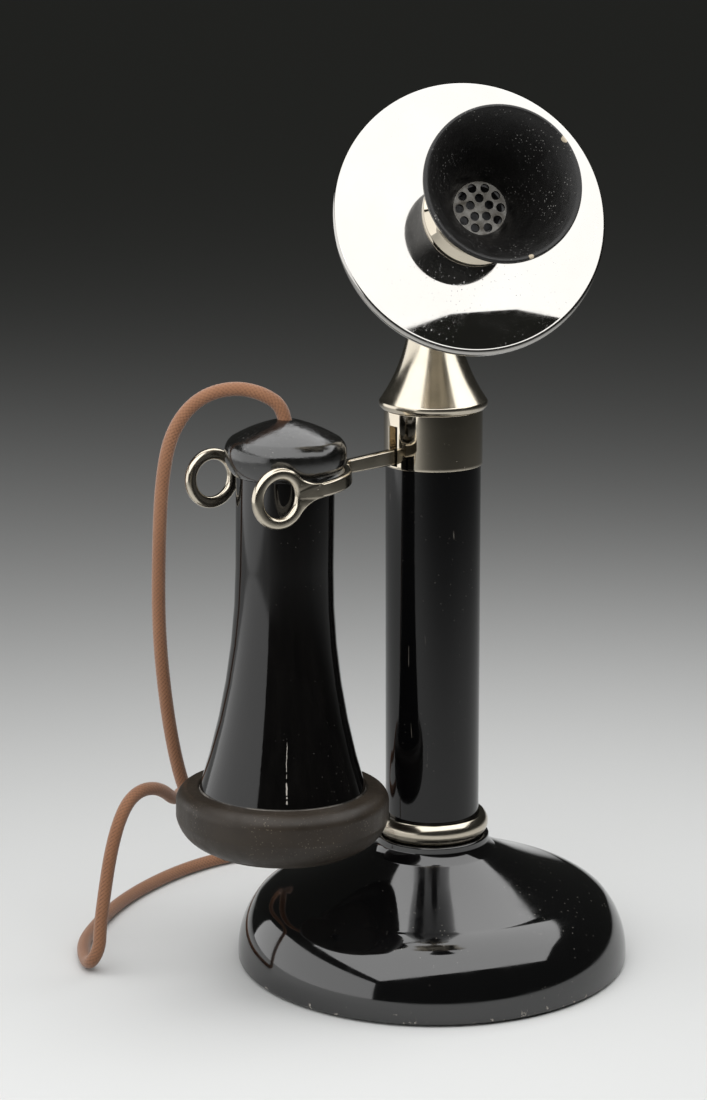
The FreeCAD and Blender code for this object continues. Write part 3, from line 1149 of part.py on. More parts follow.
def rounded_path(corners):
    """Straight runs joined by arcs as large as the two runs beside each corner allow."""
    edges = []
    radii = []
    at = corners[0]
    for before, corner, after in zip(corners, corners[1:], corners[2:]):
        to_start = (before - corner).normalize()
        to_end = (after - corner).normalize()
        setback = 0.45 * min((before - corner).Length, (after - corner).Length)
        half_turn = (math.pi - to_start.getAngle(to_end)) / 2
        radii.append(setback / math.tan(half_turn))
        first = corner + to_start * setback
        last = corner + to_end * setback
        inward = (to_start + to_end).normalize()
        middle = corner + inward * (radii[-1] / math.cos(half_turn) - radii[-1])
        edges.append(Part.LineSegment(at, first).toShape())
        edges.append(Part.Arc(first, middle, last).toShape())
        at = last
    edges.append(Part.LineSegment(at, corners[-1]).toShape())
    return Part.Wire(edges), radii


cord_path, cord_radii = rounded_path(cord_corners)
cord_end = Part.Circle(cord_corners[0], cord_corners[1] - cord_corners[0], cord_r.value)
receiver_cord = doc.addObject("Part::Feature", "receiver_cord")
receiver_cord.Label = "receiver_cord"
receiver_cord.Shape = cord_path.makePipeShell([Part.Wire(cord_end.toShape())], True, False)
node(receiver_cord)

# ---------------------------------------------------------------- check and write

doc.recompute()
for item in doc.Objects:
    if "Invalid" in item.State or "Error" in item.State:
        raise RuntimeError("{} failed: {}".format(item.Label, item.State))
os.makedirs("parts", exist_ok=True)
for piece in nodes:
    if piece.Shape.isNull() or not piece.Shape.isValid() or piece.Shape.Volume <= 0:
        raise RuntimeError("{} has no valid shape".format(piece.Label))
    piece.Shape.exportStep(os.path.join("parts", piece.Label + ".step"))
cord_volume = cord_path.Length * math.pi * cord_r.value ** 2
print("cord length {:.1f}, volume {:.0f} of {:.0f}".format(
    cord_path.Length, receiver_cord.Shape.Volume, cord_volume))
print("cord radii " + " ".join("{:.1f}".format(radius) for radius in cord_radii))
print("{} nodes written".format(len(nodes)))
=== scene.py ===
import json
import math

import bmesh
import bpy
import numpy as np
from mathutils import Matrix, Vector


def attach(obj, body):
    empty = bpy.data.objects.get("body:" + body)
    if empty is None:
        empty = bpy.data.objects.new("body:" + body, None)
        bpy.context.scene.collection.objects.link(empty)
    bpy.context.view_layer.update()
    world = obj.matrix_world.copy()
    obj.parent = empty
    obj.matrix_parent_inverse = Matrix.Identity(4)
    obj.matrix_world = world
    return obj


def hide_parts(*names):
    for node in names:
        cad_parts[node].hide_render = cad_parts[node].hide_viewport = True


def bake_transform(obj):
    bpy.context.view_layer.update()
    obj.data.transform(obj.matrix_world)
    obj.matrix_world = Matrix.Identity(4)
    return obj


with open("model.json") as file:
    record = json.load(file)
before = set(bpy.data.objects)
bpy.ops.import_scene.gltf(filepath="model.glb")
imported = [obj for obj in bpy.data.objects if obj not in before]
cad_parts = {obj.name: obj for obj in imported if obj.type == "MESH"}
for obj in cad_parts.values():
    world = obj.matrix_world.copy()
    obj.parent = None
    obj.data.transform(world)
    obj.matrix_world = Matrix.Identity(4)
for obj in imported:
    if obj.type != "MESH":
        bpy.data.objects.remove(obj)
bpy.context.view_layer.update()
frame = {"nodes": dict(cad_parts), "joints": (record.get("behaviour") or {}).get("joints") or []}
nodes = frame["nodes"]
joints = {joint["name"]: joint for joint in frame["joints"]}

# ---------------------------------------------------------------- camera
# A long lens at table height plus a third of a metre, looking a little down on the telephone
# from the receiver's side, with the transmitter turned towards it.


def linked(name, data):
    """A new object with this data, put in the scene."""
    item = bpy.data.objects.new(name, data)
    bpy.context.scene.collection.objects.link(item)
    return item


camera = linked("camera", bpy.data.cameras.new("camera"))
camera.data.lens = 90.1
camera.data.sensor_width = 36.0
camera.data.clip_end = 60.0
heading = math.radians(-34.31)
nod = math.radians(90.0 - 12.93)
roll = math.radians(-0.2)
camera.matrix_world = (Matrix.Translation((-0.5279, -0.7265, 0.3491))
                       @ Matrix.Rotation(heading, 4, "Z") @ Matrix.Rotation(nod, 4, "X")
                       @ Matrix.Rotation(roll, 4, "Z"))
bpy.context.scene.camera = camera
bpy.context.scene.view_settings.view_transform = "Standard"

# ---------------------------------------------------------------- receiver cord
# Brown cotton braid over two insulated tinsel wires. It comes out of the receiver's top cap,
# falls behind the ear cap in a loose turn, touches the table and runs round to the bushing.

CORD_R = 0.0023
cord_points = [
    (-0.0581, 0.0, 0.1883), (-0.0580, 0.0, 0.1965), (-0.0638, 0.0045, 0.2019),
    (-0.0718, 0.0112, 0.2036), (-0.0798, 0.0192, 0.1994), (-0.0856, 0.0251, 0.1887),
    (-0.0878, 0.0280, 0.1732), (-0.0876, 0.0312, 0.1502), (-0.0864, 0.0346, 0.1202),
    (-0.0820, 0.0374, 0.0902), (-0.0768, 0.0388, 0.0672), (-0.0700, 0.0404, 0.0527),
    (-0.0569, 0.0438, 0.0442), (-0.0419, 0.0510, 0.0422), (-0.0308, 0.0645, 0.0427),
    (-0.0364, 0.0780, 0.0444), (-0.0504, 0.0820, 0.0466), (-0.0597, 0.0710, 0.0472),
    (-0.0700, 0.0632, 0.0556), (-0.0787, 0.0597, 0.0582), (-0.0860, 0.0570, 0.0565),
    (-0.0918, 0.0543, 0.0508), (-0.0965, 0.0522, 0.0409), (-0.1000, 0.0504, 0.0293),
    (-0.1030, 0.0491, 0.0167), (-0.1040, 0.0482, 0.0090), (-0.1066, 0.0509, 0.0028),
    (-0.1026, 0.0624, 0.0025), (-0.0960, 0.0734, 0.0026), (-0.0840, 0.0854, 0.0025),
    (-0.0685, 0.0984, 0.0026), (-0.0500, 0.1092, 0.0025), (-0.0300, 0.1168, 0.0026),
    (-0.0100, 0.1198, 0.0025), (0.0075, 0.1156, 0.0030), (0.0155, 0.1030, 0.0042),
    (0.0120, 0.0895, 0.0066), (0.0020, 0.0805, 0.0093), (0.0, 0.0689, 0.0095)]


def smooth_line(points, steps):
    """The points of a quadratic NURBS line that has these points as its control points."""
    curve = bpy.data.curves.new("route", "CURVE")
    curve.dimensions = "3D"
    spline = curve.splines.new("NURBS")
    spline.points.add(len(points) - 1)
    for knot, point in zip(spline.points, points):
        knot.co = (*point, 1.0)
    spline.order_u = 3
    spline.use_endpoint_u = True
    spline.resolution_u = steps
    route = linked("route", curve)
    bpy.context.view_layer.update()
    mesh = bpy.data.meshes.new_from_object(route)
    line = np.empty(len(mesh.vertices) * 3)
    mesh.vertices.foreach_get("co", line)
    bpy.data.objects.remove(route)
    bpy.data.meshes.remove(mesh)
    return line.reshape(-1, 3)


def evenly(line, spacing):
    """Points at equal steps along a line, with the distance of each from its start."""
    runs = np.linalg.norm(np.diff(line, axis=0), axis=1)
    along = np.concatenate(([0.0], np.cumsum(runs)))
    count = int(along[-1] / spacing)
    places = np.linspace(0.0, along[-1], count + 1)
    return np.stack([np.interp(places, along, line[:, k]) for k in range(3)], 1), places


def carried_frames(line):
    """Two square directions across a line at each point, carried along it without twist."""
    ahead = np.gradient(line, axis=0)
    ahead /= np.linalg.norm(ahead, axis=1)[:, None]
    side = np.cross(ahead[0], (0.0, 1.0, 0.0))
    sides = []
    for direction in ahead:
        side = side - direction * (side @ direction)
        side /= np.linalg.norm(side)
        sides.append(side)
    sides = np.array(sides)
    return sides, np.cross(ahead, sides)


def grid_mesh(name, places, closed_along=False, uv=None):
    """A piece from a grid of points (along, across, xyz), closed across: one face per cell."""
    rows, columns = places.shape[:2]
    index = np.arange(rows * columns).reshape(rows, columns)
    index = np.concatenate([index, index[:, :1]], 1)
    if closed_along:
        index = np.concatenate([index, index[:1]], 0)
    faces = np.stack([index[:-1, :-1], index[:-1, 1:], index[1:, 1:], index[1:, :-1]], 2)
    mesh = bpy.data.meshes.new(name)
    mesh.from_pydata(places.reshape(-1, 3), [], faces.reshape(-1, 4).tolist())
    if uv is not None:
        layer = mesh.uv_layers.new(name="UVMap")
        cells = np.stack([uv[:-1, :-1], uv[:-1, 1:], uv[1:, 1:], uv[1:, :-1]], 2)
        layer.data.foreach_set("uv", cells.reshape(-1).astype(np.float32))
    return linked(name, mesh)


DOUBLED = 1e-7


def close_up(piece):
    """Merge doubled points, turn the faces outwards and shade the piece smooth."""
    work = bmesh.new()
    work.from_mesh(piece.data)
    bmesh.ops.remove_doubles(work, verts=work.verts, dist=DOUBLED)
    bmesh.ops.recalc_face_normals(work, faces=work.faces)
    work.to_mesh(piece.data)
    work.free()
    piece.data.shade_smooth()
    return piece


YARNS = 10
YARN_LENGTH = 0.0015
YARN_RISE = 0.00017
SIDES = 48
cord_line, cord_along = evenly(smooth_line(cord_points, 12), YARN_LENGTH / 5)
cord_side, cord_over = carried_frames(cord_line)
turn = np.linspace(0.0, 1.0, SIDES, endpoint=False)
# Two families of yarns cross at every cell: the one on top bulges across its own width and dips
# at its ends, where it goes under the next.
one = cord_along[:, None] / YARN_LENGTH + turn[None, :] * YARNS
other = cord_along[:, None] / YARN_LENGTH - turn[None, :] * YARNS
on_top = (np.floor(one) + np.floor(other)) % 2 == 0
across_yarn = np.where(on_top, one % 1.0, other % 1.0)
along_yarn = np.where(on_top, other % 1.0, one % 1.0)
bulge = np.sqrt(np.sin(np.pi * across_yarn)) * (0.55 + 0.45 * np.sin(np.pi * along_yarn))
reach = CORD_R - YARN_RISE * (1.0 - bulge)
angle = turn * 2.0 * np.pi
tube = (cord_line[:, None] + reach[..., None]
        * (np.cos(angle)[None, :, None] * cord_side[:, None]
           + np.sin(angle)[None, :, None] * cord_over[:, None]))
ends = [np.repeat(line[None, None], SIDES, 1) for line in (cord_line[0], cord_line[-1])]
tube = np.concatenate([ends[0], tube, ends[1]])
tube_along = np.concatenate([cord_along[:1], cord_along, cord_along[-1:]])
tube_uv = np.stack(np.broadcast_arrays(np.linspace(0.0, 1.0, SIDES + 1)[None, :],
                                       tube_along[:, None]), 2)
cord = grid_mesh("receiver_cord_braid", tube, uv=tube_uv)
# The yarns' crown height, kept on the points so that shade can be painted into the dips between
# them.
crown_for_shade = np.concatenate([bulge[:1], bulge, bulge[-1:]])
cord.data.attributes.new("crown_for_shade", "FLOAT", "POINT").data.foreach_set(
    "value", crown_for_shade.reshape(-1).astype(np.float32))
close_up(cord)


def new_finish(name, **sockets):
    """A Principled material with these constant values: it, its tree, shader and coordinates."""
    material = bpy.data.materials.new(name)
    material.use_nodes = True
    tree = material.node_tree
    shader = tree.nodes["Principled BSDF"]
    for socket, value in sockets.items():
        shader.inputs[socket.replace("_", " ")].default_value = value
    where = tree.nodes.new("ShaderNodeTexCoord")
    return material, tree, shader, where.outputs["Object"]


def add(tree, kind, settings=None, **inputs):
    """A shader node with its settings and inputs: an input may be a value or another's output."""
    item = tree.nodes.new("ShaderNode" + kind)
    for name, value in (settings or {}).items():
        setattr(item, name, value)
    for name, value in inputs.items():
        socket = item.inputs[int(name[1:]) if name[1:].isdigit() else name.replace("_", " ")]
        if isinstance(value, bpy.types.NodeSocket):
            tree.links.new(value, socket)
        else:
            socket.default_value = value
    return item


def noise(tree, where, scale, detail=3.0, roughness=0.55, stretch=(1.0, 1.0, 1.0)):
    """A noise from 0 to 1 over a piece, stretched along an axis if need be."""
    if stretch != (1.0, 1.0, 1.0):
        where = add(tree, "Mapping", Vector=where, Scale=stretch).outputs[0]
    return add(tree, "TexNoise", Vector=where, Scale=scale, Detail=detail,
               Roughness=roughness).outputs[0]


def span(tree, value, low, high, to_low=0.0, to_high=1.0):
    """Map a value from low..high to another range, and hold it there."""
    item = add(tree, "MapRange", {"clamp": True}, Value=value)
    for name, number in (("From Min", low), ("From Max", high), ("To Min", to_low),
                         ("To Max", to_high)):
        item.inputs[name].default_value = number
    return item.outputs[0]


def sums(tree, operation, one, other=0.0):
    """One or two values through a Math node."""
    return add(tree, "Math", {"operation": operation}, _0=one, _1=other).outputs[0]


def product(tree, one, *others):
    """Values multiplied together."""
    for other in others:
        one = sums(tree, "MULTIPLY", one, other)
    return one


def mix(tree, share, one, other):
    """A colour between two by a share."""
    item = add(tree, "Mix", {"data_type": "RGBA"}, _0=share)
    for socket, value in ((item.inputs[6], one), (item.inputs[7], other)):
        if isinstance(value, bpy.types.NodeSocket):
            tree.links.new(value, socket)
        else:
            socket.default_value = (*value, 1.0)
    return item.outputs[2]


def bumped(tree, shader, height, distance, strength=1.0):
    """Let a height from 0 to 1 raise the surface by up to this distance."""
    bump = add(tree, "Bump", Height=height, Distance=distance, Strength=strength)
    tree.links.new(bump.outputs[0], shader.inputs["Normal"])


def braid_finish():
    """Brown cotton, faded in long patches, with painted shade darkening the dips between the
    yarns' crowns.
    """
    material, tree, shader, where = new_finish("brown_cotton_braid", Roughness=0.88,
                                               Sheen_Weight=0.35, Sheen_Roughness=0.45)
    flow = add(tree, "UVMap", {"uv_map": "UVMap"}).outputs[0]
    crown_for_shade = add(tree, "Attribute", {"attribute_name": "crown_for_shade"}).outputs["Fac"]
    fade = span(tree, noise(tree, where, 55.0, 4.0), 0.3, 0.7)
    fibres = noise(tree, flow, 900.0, 2.0, 0.7, (2.4, 1.0, 1.0))
    cotton = mix(tree, fade, (0.185, 0.070, 0.028), (0.25, 0.108, 0.050))
    cotton = mix(tree, span(tree, fibres, 0.35, 0.75), cotton, (0.33, 0.170, 0.090))
    # Painted shade: where the yarns' crowns dip between crossings, the colour falls to a deep
    # brown.
    tree.links.new(mix(tree, span(tree, crown_for_shade, 0.1, 0.7), (0.10, 0.038, 0.018), cotton),
                   shader.inputs["Base Color"])
    bumped(tree, shader, fibres, 0.00008, 0.7)
    return material


cord.data.materials.append(braid_finish())
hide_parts("receiver_cord")
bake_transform(cord)

# ---------------------------------------------------------------- base
# A heavy iron casting in gloss black enamel, hollow below, with a hollowed neck for the column.
# Years of handling have chipped its lower edge. It stands on a disc of green felt.

MM = 0.001
ARC_STEP = math.radians(3.0)


def bend(start, end, radius):
    """Points of the shorter arc after its start: a positive radius turns left, as on a lathe."""
    chord = end - start
    length = math.hypot(*chord)
    rise = math.sqrt(max(radius * radius - length * length / 4, 0.0))
    aside = np.array((-chord[1], chord[0])) / length
    centre = (start + end) / 2 + aside * math.copysign(rise, radius)
    first = math.atan2(*(start - centre)[::-1])
    sweep = 2 * math.asin(min(length / 2 / abs(radius), 1.0)) * math.copysign(1.0, radius)
    count = max(2, round(abs(sweep) / ARC_STEP))
    angles = first + sweep * np.arange(1, count + 1) / count
    return centre + abs(radius) * np.stack([np.cos(angles), np.sin(angles)], 1)


def profile(corners):
    """Corners (across, up[, radius of the next arc]) in millimetres, as points in metres."""
    places = [np.array(corner[:2], float) for corner in corners]
    points = [places[0][None]]
    for number, corner in enumerate(corners[:-1]):
        start, end = places[number], places[number + 1]
        points.append(bend(start, end, corner[2]) if len(corner) == 3 else end[None])
    return np.concatenate(points) * MM


def turned(name, corners, sides=192, place=None, closed=True):
    """A piece turned about Z: its profile goes round the axis as a grid of (profile, angle)."""
    line = profile([*corners, corners[0][:2]] if closed else corners)
    if closed:
        line = line[:-1]
    angles = np.linspace(0.0, 2 * math.pi, sides, endpoint=False)
    grid = np.stack([line[:, :1] * np.cos(angles), line[:, :1] * np.sin(angles),
                     np.repeat(line[:, 1:], sides, 1)], 2)
    if place is not None:
        grid = grid @ np.array(place.to_3x3()).T + np.array(place.translation)
    return close_up(grid_mesh(name, grid, closed_along=closed))


def true_flats(piece):
    """Let the broad faces set the shading, so that flats stay flat beside rounded edges."""
    piece.modifiers.new("shading", "WEIGHTED_NORMAL").keep_sharp = True
    return piece


def soft_edges(piece, width=0.0003):
    """Round the sharp edges a little, and keep the broad faces' shading true."""
    rounding = piece.modifiers.new("edges", "BEVEL")
    rounding.width = width
    rounding.segments = 3
    rounding.angle_limit = math.radians(32.0)
    return true_flats(piece)


def dress(piece, body, material, *replaced, slot=None):
    """Give a new piece its finish, the body that it rides on and the nodes that it stands for."""
    piece.data.materials.append(material)
    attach(piece, body)
    if replaced:
        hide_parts(*replaced)
    return piece


def enamel_finish(name, chips, gloss, dust_share):
    """Gloss black enamel: a faint orange peel, fine dust, hairline rubs and chips where given."""
    material, tree, shader, where = new_finish(name, Specular_IOR_Level=gloss)
    dust = add(tree, "TexVoronoi", Vector=where, Scale=420.0)
    grains = span(tree, dust.outputs["Distance"], 0.13, 0.06)
    dusty = span(tree, noise(tree, where, 26.0, 4.0), 0.44, 0.64)
    specks = product(tree, grains, dusty)
    rubs = noise(tree, where, 90.0, 5.0, 0.6, (1.0, 1.0, 0.22))
    colour = mix(tree, product(tree, specks, dust_share), (0.0025, 0.0025, 0.0027),
                 (0.30, 0.28, 0.25))
    chipped = chips(tree, where)
    colour = mix(tree, chipped, colour, (0.30, 0.275, 0.24))
    tree.links.new(colour, shader.inputs["Base Color"])
    rough = span(tree, rubs, 0.35, 0.8, 0.045, 0.14)
    tree.links.new(sums(tree, "MAXIMUM", rough, product(tree, chipped, 0.6)),
                   shader.inputs["Roughness"])
    peel = noise(tree, where, 160.0, 2.0, 0.4)
    relief = sums(tree, "SUBTRACT", product(tree, peel, 0.12), chipped)
    bumped(tree, shader, relief, 0.00012, 0.6)
    return material


def edge_chips(tree, where):
    """Chips along the foot of the base: a ragged noise that passes only near the table."""
    up = add(tree, "SeparateXYZ", Vector=where).outputs[2]
    low = span(tree, up, 0.0085, 0.0005)
    ragged = noise(tree, where, 330.0, 5.0, 0.7)
    return span(tree, sums(tree, "ADD", ragged, product(tree, low, 0.22)), 0.79, 0.81)


base_enamel = enamel_finish("base_enamel", edge_chips, 1.0, 0.5)
base = turned("base_casting", [
    (64.3, 0.9), (66.8, 0.9), (66.8, 3.0, 27.4), (60.0, 21.0, 22.9), (50.0, 26.4, -204.0),
    (22.0, 38.8, -8.2), (19.4, 42.5), (19.4, 44.5), (6.3, 44.5), (6.3, 36.6),
    (20.8, 36.6, 206.5), (49.1, 24.0, -20.4), (58.1, 19.4, -24.9), (64.3, 3.0)], sides=256)
soft_edges(base, 0.0006)
dress(base, "stand", base_enamel, "base_shell", slot="black_enamel")


def felt_finish():
    """Dark green wool felt: pressed fibres, darker in patches, with no gloss at all."""
    material, tree, shader, where = new_finish("green_felt", Roughness=1.0, Sheen_Weight=0.3)
    fibres = noise(tree, where, 1400.0, 3.0, 0.7)
    patches = noise(tree, where, 60.0, 2.0)
    felt = mix(tree, patches, (0.030, 0.062, 0.034), (0.055, 0.105, 0.060))
    tree.links.new(mix(tree, span(tree, fibres, 0.4, 0.8), felt, (0.10, 0.16, 0.10)),
                   shader.inputs["Base Color"])
    bumped(tree, shader, fibres, 0.00025)
    return material


def cut_by(piece, cutters):
    """The piece less the solids of a bmesh."""
    mesh = bpy.data.meshes.new("cutters")
    cutters.to_mesh(mesh)
    cutters.free()
    tool = linked("cutters", mesh)
    piece.modifiers.new("cuts", "BOOLEAN").object = tool
    bpy.context.view_layer.update()
    seen = piece.evaluated_get(bpy.context.evaluated_depsgraph_get())
    piece.data = bpy.data.meshes.new_from_object(seen)
    piece.modifiers.clear()
    bpy.data.objects.remove(tool)
    piece.data.shade_smooth()
    return piece


def drilled(piece, places, radius, depth, sides=40):
    """The piece less a round hole at each place (a matrix whose Z is the hole's axis)."""
    cutters = bmesh.new()
    for place in places:
        bmesh.ops.create_cone(cutters, cap_ends=True, segments=sides, radius1=radius,
                              radius2=radius, depth=depth, matrix=place)
    return cut_by(piece, cutters)


def around(count, circle, first=0.0, height=0.0):
    """Places evenly round a circle, each a matrix with Z up."""
    angles = [math.radians(first + 360.0 * number / count) for number in range(count)]
    return [Matrix.Translation((circle * math.cos(angle), circle * math.sin(angle), height))
            for angle in angles]


SCREW_CIRCLE = 0.05
SCREW_ROOM = 0.0032
felt = turned("felt_pad", [(0, 0), (64, 0), (64, 1.4), (0, 1.4)], 180, closed=False)
drilled(felt, around(3, SCREW_CIRCLE, 30.0), SCREW_ROOM, 0.01)
soft_edges(felt)
dress(felt, "stand", felt_finish(), "base_felt", slot="felt")

# ---------------------------------------------------------------- hidden works
# The plate and screws under the base, the bushings behind it and all that works inside: steel,
# brass and bronze, stamped or turned, with fibre, hard rubber and silk-covered coils. They keep
# the CAD model's shapes, and each gets its material's plain finish.


def plain_steel(name, colour, rough):
    """Bare metal: brushed a little and dulled in patches."""
    material, tree, shader, where = new_finish(name, Metallic=1.0)
    patches = noise(tree, where, 140.0, 4.0)
    darker = tuple(part * 0.72 for part in colour)
    tree.links.new(mix(tree, patches, darker, colour), shader.inputs["Base Color"])
    tree.links.new(span(tree, patches, 0.3, 0.8, rough, rough + 0.18), shader.inputs["Roughness"])
    bumped(tree, shader, noise(tree, where, 900.0, 2.0), 0.00003)
    return material


def plain_dull(name, colour, rough):
    """Rubber, fibre, silk or lacquer: an even colour with a fine grain."""
    material, tree, shader, where = new_finish(name)
    grain = noise(tree, where, 420.0, 3.0)
    darker = tuple(part * 0.7 for part in colour)
    tree.links.new(mix(tree, grain, darker, colour), shader.inputs["Base Color"])
    tree.links.new(span(tree, grain, 0.3, 0.8, rough, rough + 0.12), shader.inputs["Roughness"])
    bumped(tree, shader, grain, 0.00004)
    return material


steel = plain_steel("plain_steel", (0.42, 0.41, 0.40), 0.32)
brass = plain_steel("dull_brass", (0.58, 0.43, 0.19), 0.28)
bronze = plain_steel("spring_bronze", (0.52, 0.33, 0.18), 0.25)
lacquer = plain_dull("lacquered_iron", (0.035, 0.035, 0.04), 0.3)
fibre = plain_dull("vulcanised_fibre", (0.11, 0.055, 0.03), 0.5)
ebonite = plain_dull("black_ebonite", (0.014, 0.013, 0.013), 0.26)
silk = plain_dull("green_silk", (0.10, 0.17, 0.06), 0.7)
kept = {
    steel: ("base_plate", "base_plate_screws", "hook_pivot_pin", "damping_springs",
            "pole_pieces"),
    brass: ("terminal_screws", "column_stem", "column_nut", "switch_frame",
            "spring_clamp_screws", "button_bridge", "carbon_button", "coil_plate",
            "receiver_terminals"),
    bronze: ("contact_springs",),
    lacquer: ("transmitter_diaphragm", "receiver_diaphragm", "receiver_magnet"),
    fibre: ("terminal_block", "spring_insulators"),
    ebonite: ("receiver_cord_bushing", "line_cord_bushing", "lever_stud", "diaphragm_gasket"),
    silk: ("receiver_coils",),
}
for material, names in kept.items():
    for name in names:
        nodes[name].data.materials.clear()
        nodes[name].data.materials.append(material)

# ---------------------------------------------------------------- column
# A 1 1/4 inch brass tube in the same black enamel, clamped by a stem through the base, with a
# half-round nickel ring that hides the joint at its foot.


def column_scratches(tree, where):
    """A few hairline scratches down to the metal: thin bands of a slanted, broken noise."""
    tilted = add(tree, "Mapping", Vector=where, Rotation=(0.5, 0.2, 0.0),
                 Scale=(1.0, 1.0, 0.12)).outputs[0]
    lines = add(tree, "TexNoise", Vector=tilted, Scale=55.0, Detail=1.0).outputs[0]
    thin = span(tree, sums(tree, "ABSOLUTE", sums(tree, "SUBTRACT", lines, 0.5)), 0.005, 0.0015)
    broken = span(tree, noise(tree, where, 70.0, 3.0), 0.60, 0.65)
    return product(tree, thin, broken, 0.35)


column_enamel = enamel_finish("column_enamel", column_scratches, 0.4, 0.15)
column = turned("column_tube_enamelled", [
    (14.275, 44.5), (15.875, 44.5), (15.875, 172.55), (14.275, 172.55)], 256)
soft_edges(column, 0.0002)
dress(column, "stand", column_enamel, "column_tube", slot="black_enamel")


def nickel_finish(name, rough=0.035):
    """Warm bright nickel: a polished mirror with faint clouds, fine wipes, pits and dust."""
    material, tree, shader, where = new_finish(name, Metallic=1.0)
    clouds = noise(tree, where, 38.0, 5.0, 0.6)
    plate = mix(tree, span(tree, clouds, 0.35, 0.7), (0.58, 0.525, 0.43), (0.51, 0.46, 0.375))
    grains = add(tree, "TexVoronoi", Vector=where, Scale=520.0).outputs["Distance"]
    spots = product(tree, span(tree, grains, 0.085, 0.04),
                    span(tree, noise(tree, where, 31.0, 3.0), 0.55, 0.75))
    tree.links.new(mix(tree, spots, plate, (0.42, 0.39, 0.34)), shader.inputs["Base Color"])
    tree.links.new(span(tree, spots, 0.0, 0.8, 1.0, 0.0), shader.inputs["Metallic"])
    wipes = noise(tree, where, 240.0, 4.0, 0.65, (1.0, 0.25, 1.0))
    haze = sums(tree, "ADD", span(tree, wipes, 0.45, 0.85, rough, rough + 0.07),
                product(tree, spots, 0.35))
    tree.links.new(sums(tree, "ADD", haze, span(tree, clouds, 0.5, 0.8, 0.0, 0.03)),
                   shader.inputs["Roughness"])
    swell = noise(tree, where, 34.0, 1.0)
    bumped(tree, shader, swell, 0.00004, 0.6)
    return material


nickel = nickel_finish("bright_nickel")
satin_nickel = nickel_finish("satin_nickel", 0.17)
ring = turned("foot_ring", [
    (15.975, 44.7), (17.575, 44.7, 4.95), (17.575, 51.8), (15.975, 51.8)], 256)
soft_edges(ring, 0.0002)
dress(ring, "stand", satin_nickel, "column_ring", slot="nickel")

# ---------------------------------------------------------------- hook collar
# A turned nickel sleeve that plugs the top of the column and houses the switch. Its slot lets
# the hook's lever out towards the receiver.

COLLAR_R = 0.0164
COLLAR_WALL = 0.0038
SLOT_HALF = 0.0022
# The sleeve is one skin on a grid of height and angle, with lines along the slot's edges. The
# slot's cells are taken out, and the skin is thickened inwards.
collar_low, collar_high = 0.17255, 0.191
slot_low, slot_high = 0.1735, 0.1866
slot_angle = math.asin(SLOT_HALF / COLLAR_R)
half = np.linspace(slot_angle, math.pi, 96)
edge = np.linspace(0.0, slot_angle, 9)
collar_angles = np.unique(np.round(np.concatenate([edge, half, -edge, -half[:-1]]), 9))
collar_heights = np.concatenate([[collar_low], np.linspace(slot_low, slot_high, 16),
                                 [collar_high]])
collar_grid = np.stack(np.broadcast_arrays(
    -COLLAR_R * np.cos(collar_angles)[None, :], -COLLAR_R * np.sin(collar_angles)[None, :],
    collar_heights[:, None]), 2)
collar = grid_mesh("hook_collar_sleeve", collar_grid)
work = bmesh.new()
work.from_mesh(collar.data)
opening = [face for face in work.faces
           if slot_low < face.calc_center_median().z < slot_high
           and face.calc_center_median().x < 0
           and abs(face.calc_center_median().y) < SLOT_HALF]
bmesh.ops.delete(work, geom=opening, context="FACES")
bmesh.ops.recalc_face_normals(work, faces=work.faces)
if min(work.faces, key=lambda face: face.calc_center_median().y).normal.y > 0:
    bmesh.ops.reverse_faces(work, faces=work.faces)
work.to_mesh(collar.data)
work.free()
collar.data.shade_smooth()
wall = collar.modifiers.new("wall", "SOLIDIFY")
wall.thickness = COLLAR_WALL
wall.offset = -1.0
wall.use_even_offset = True
soft_edges(collar, 0.0004)
dress(collar, "stand", nickel, "hook_collar", slot="nickel")

# ---------------------------------------------------------------- switch hook
# One nickelled brass forging: a lever that leaves the slot, a round fork that carries the
# receiver by its cap, and a flat eye at the end of each prong.

PRONG_HALF = 0.0012
PRONG_RISE = 0.0024
FORK_R = 0.0201
EYE_R = 0.0098
EYE_HOLE = 0.0061
EYE_HALF = 0.0014
EYE_ROUND = 0.00115
EYE_AHEAD = 0.0156
EYE_STEPS = 288
PRONG_END = 0.0168
FILLET = 0.012
ROUND = 0.00085
HOOK_RISE = math.radians(-3.7)
RECEIVER_X = -0.0584
pivot = Vector(joints["hook_lift"]["pos_m"])
fork_x = RECEIVER_X - pivot.x
eye_x = fork_x - EYE_AHEAD
hook_place = Matrix.Translation(pivot) @ Matrix.Rotation(HOOK_RISE, 4, "Y")


def placed(places, matrix):
    """Points taken through a matrix."""
    return places @ np.array(matrix.to_3x3()).T + np.array(matrix.translation)


def rounded_section(half_width, half_height, radius, steps=5):
    """A rectangle with rounded corners as a loop of points, its sizes given per row as arrays."""
    corner = np.linspace(0.0, math.pi / 2, steps)
    turns = np.concatenate([corner + quarter * math.pi / 2 for quarter in range(4)])
    signs_w = np.repeat([1, -1, -1, 1], steps)
    signs_h = np.repeat([1, 1, -1, -1], steps)
    width = signs_w * (half_width[:, None] - radius) + radius * np.cos(turns)
    height = signs_h * (half_height[:, None] - radius) + radius * np.sin(turns)
    return width, height


def bar_along(name, path, across, width, height, radius, matrix):
    """A bar of rounded rectangular section along a level path, its sides kept upright."""
    wide, tall = rounded_section(width, height, radius)
    grid = path[:, None] + wide[..., None] * across[:, None]
    grid = grid + tall[..., None] * np.array((0.0, 0.0, 1.0))
    ends = [np.repeat(grid[row].mean(0)[None, None], grid.shape[1], 1) for row in (0, -1)]
    bar = grid_mesh(name, placed(np.concatenate([ends[0], grid, ends[1]]), matrix))
    return true_flats(close_up(bar))


def level(x, y):
    """Points on the hook's own middle plane, from their x and y."""
    return np.stack(np.broadcast_arrays(x, y, 0.0), 1)


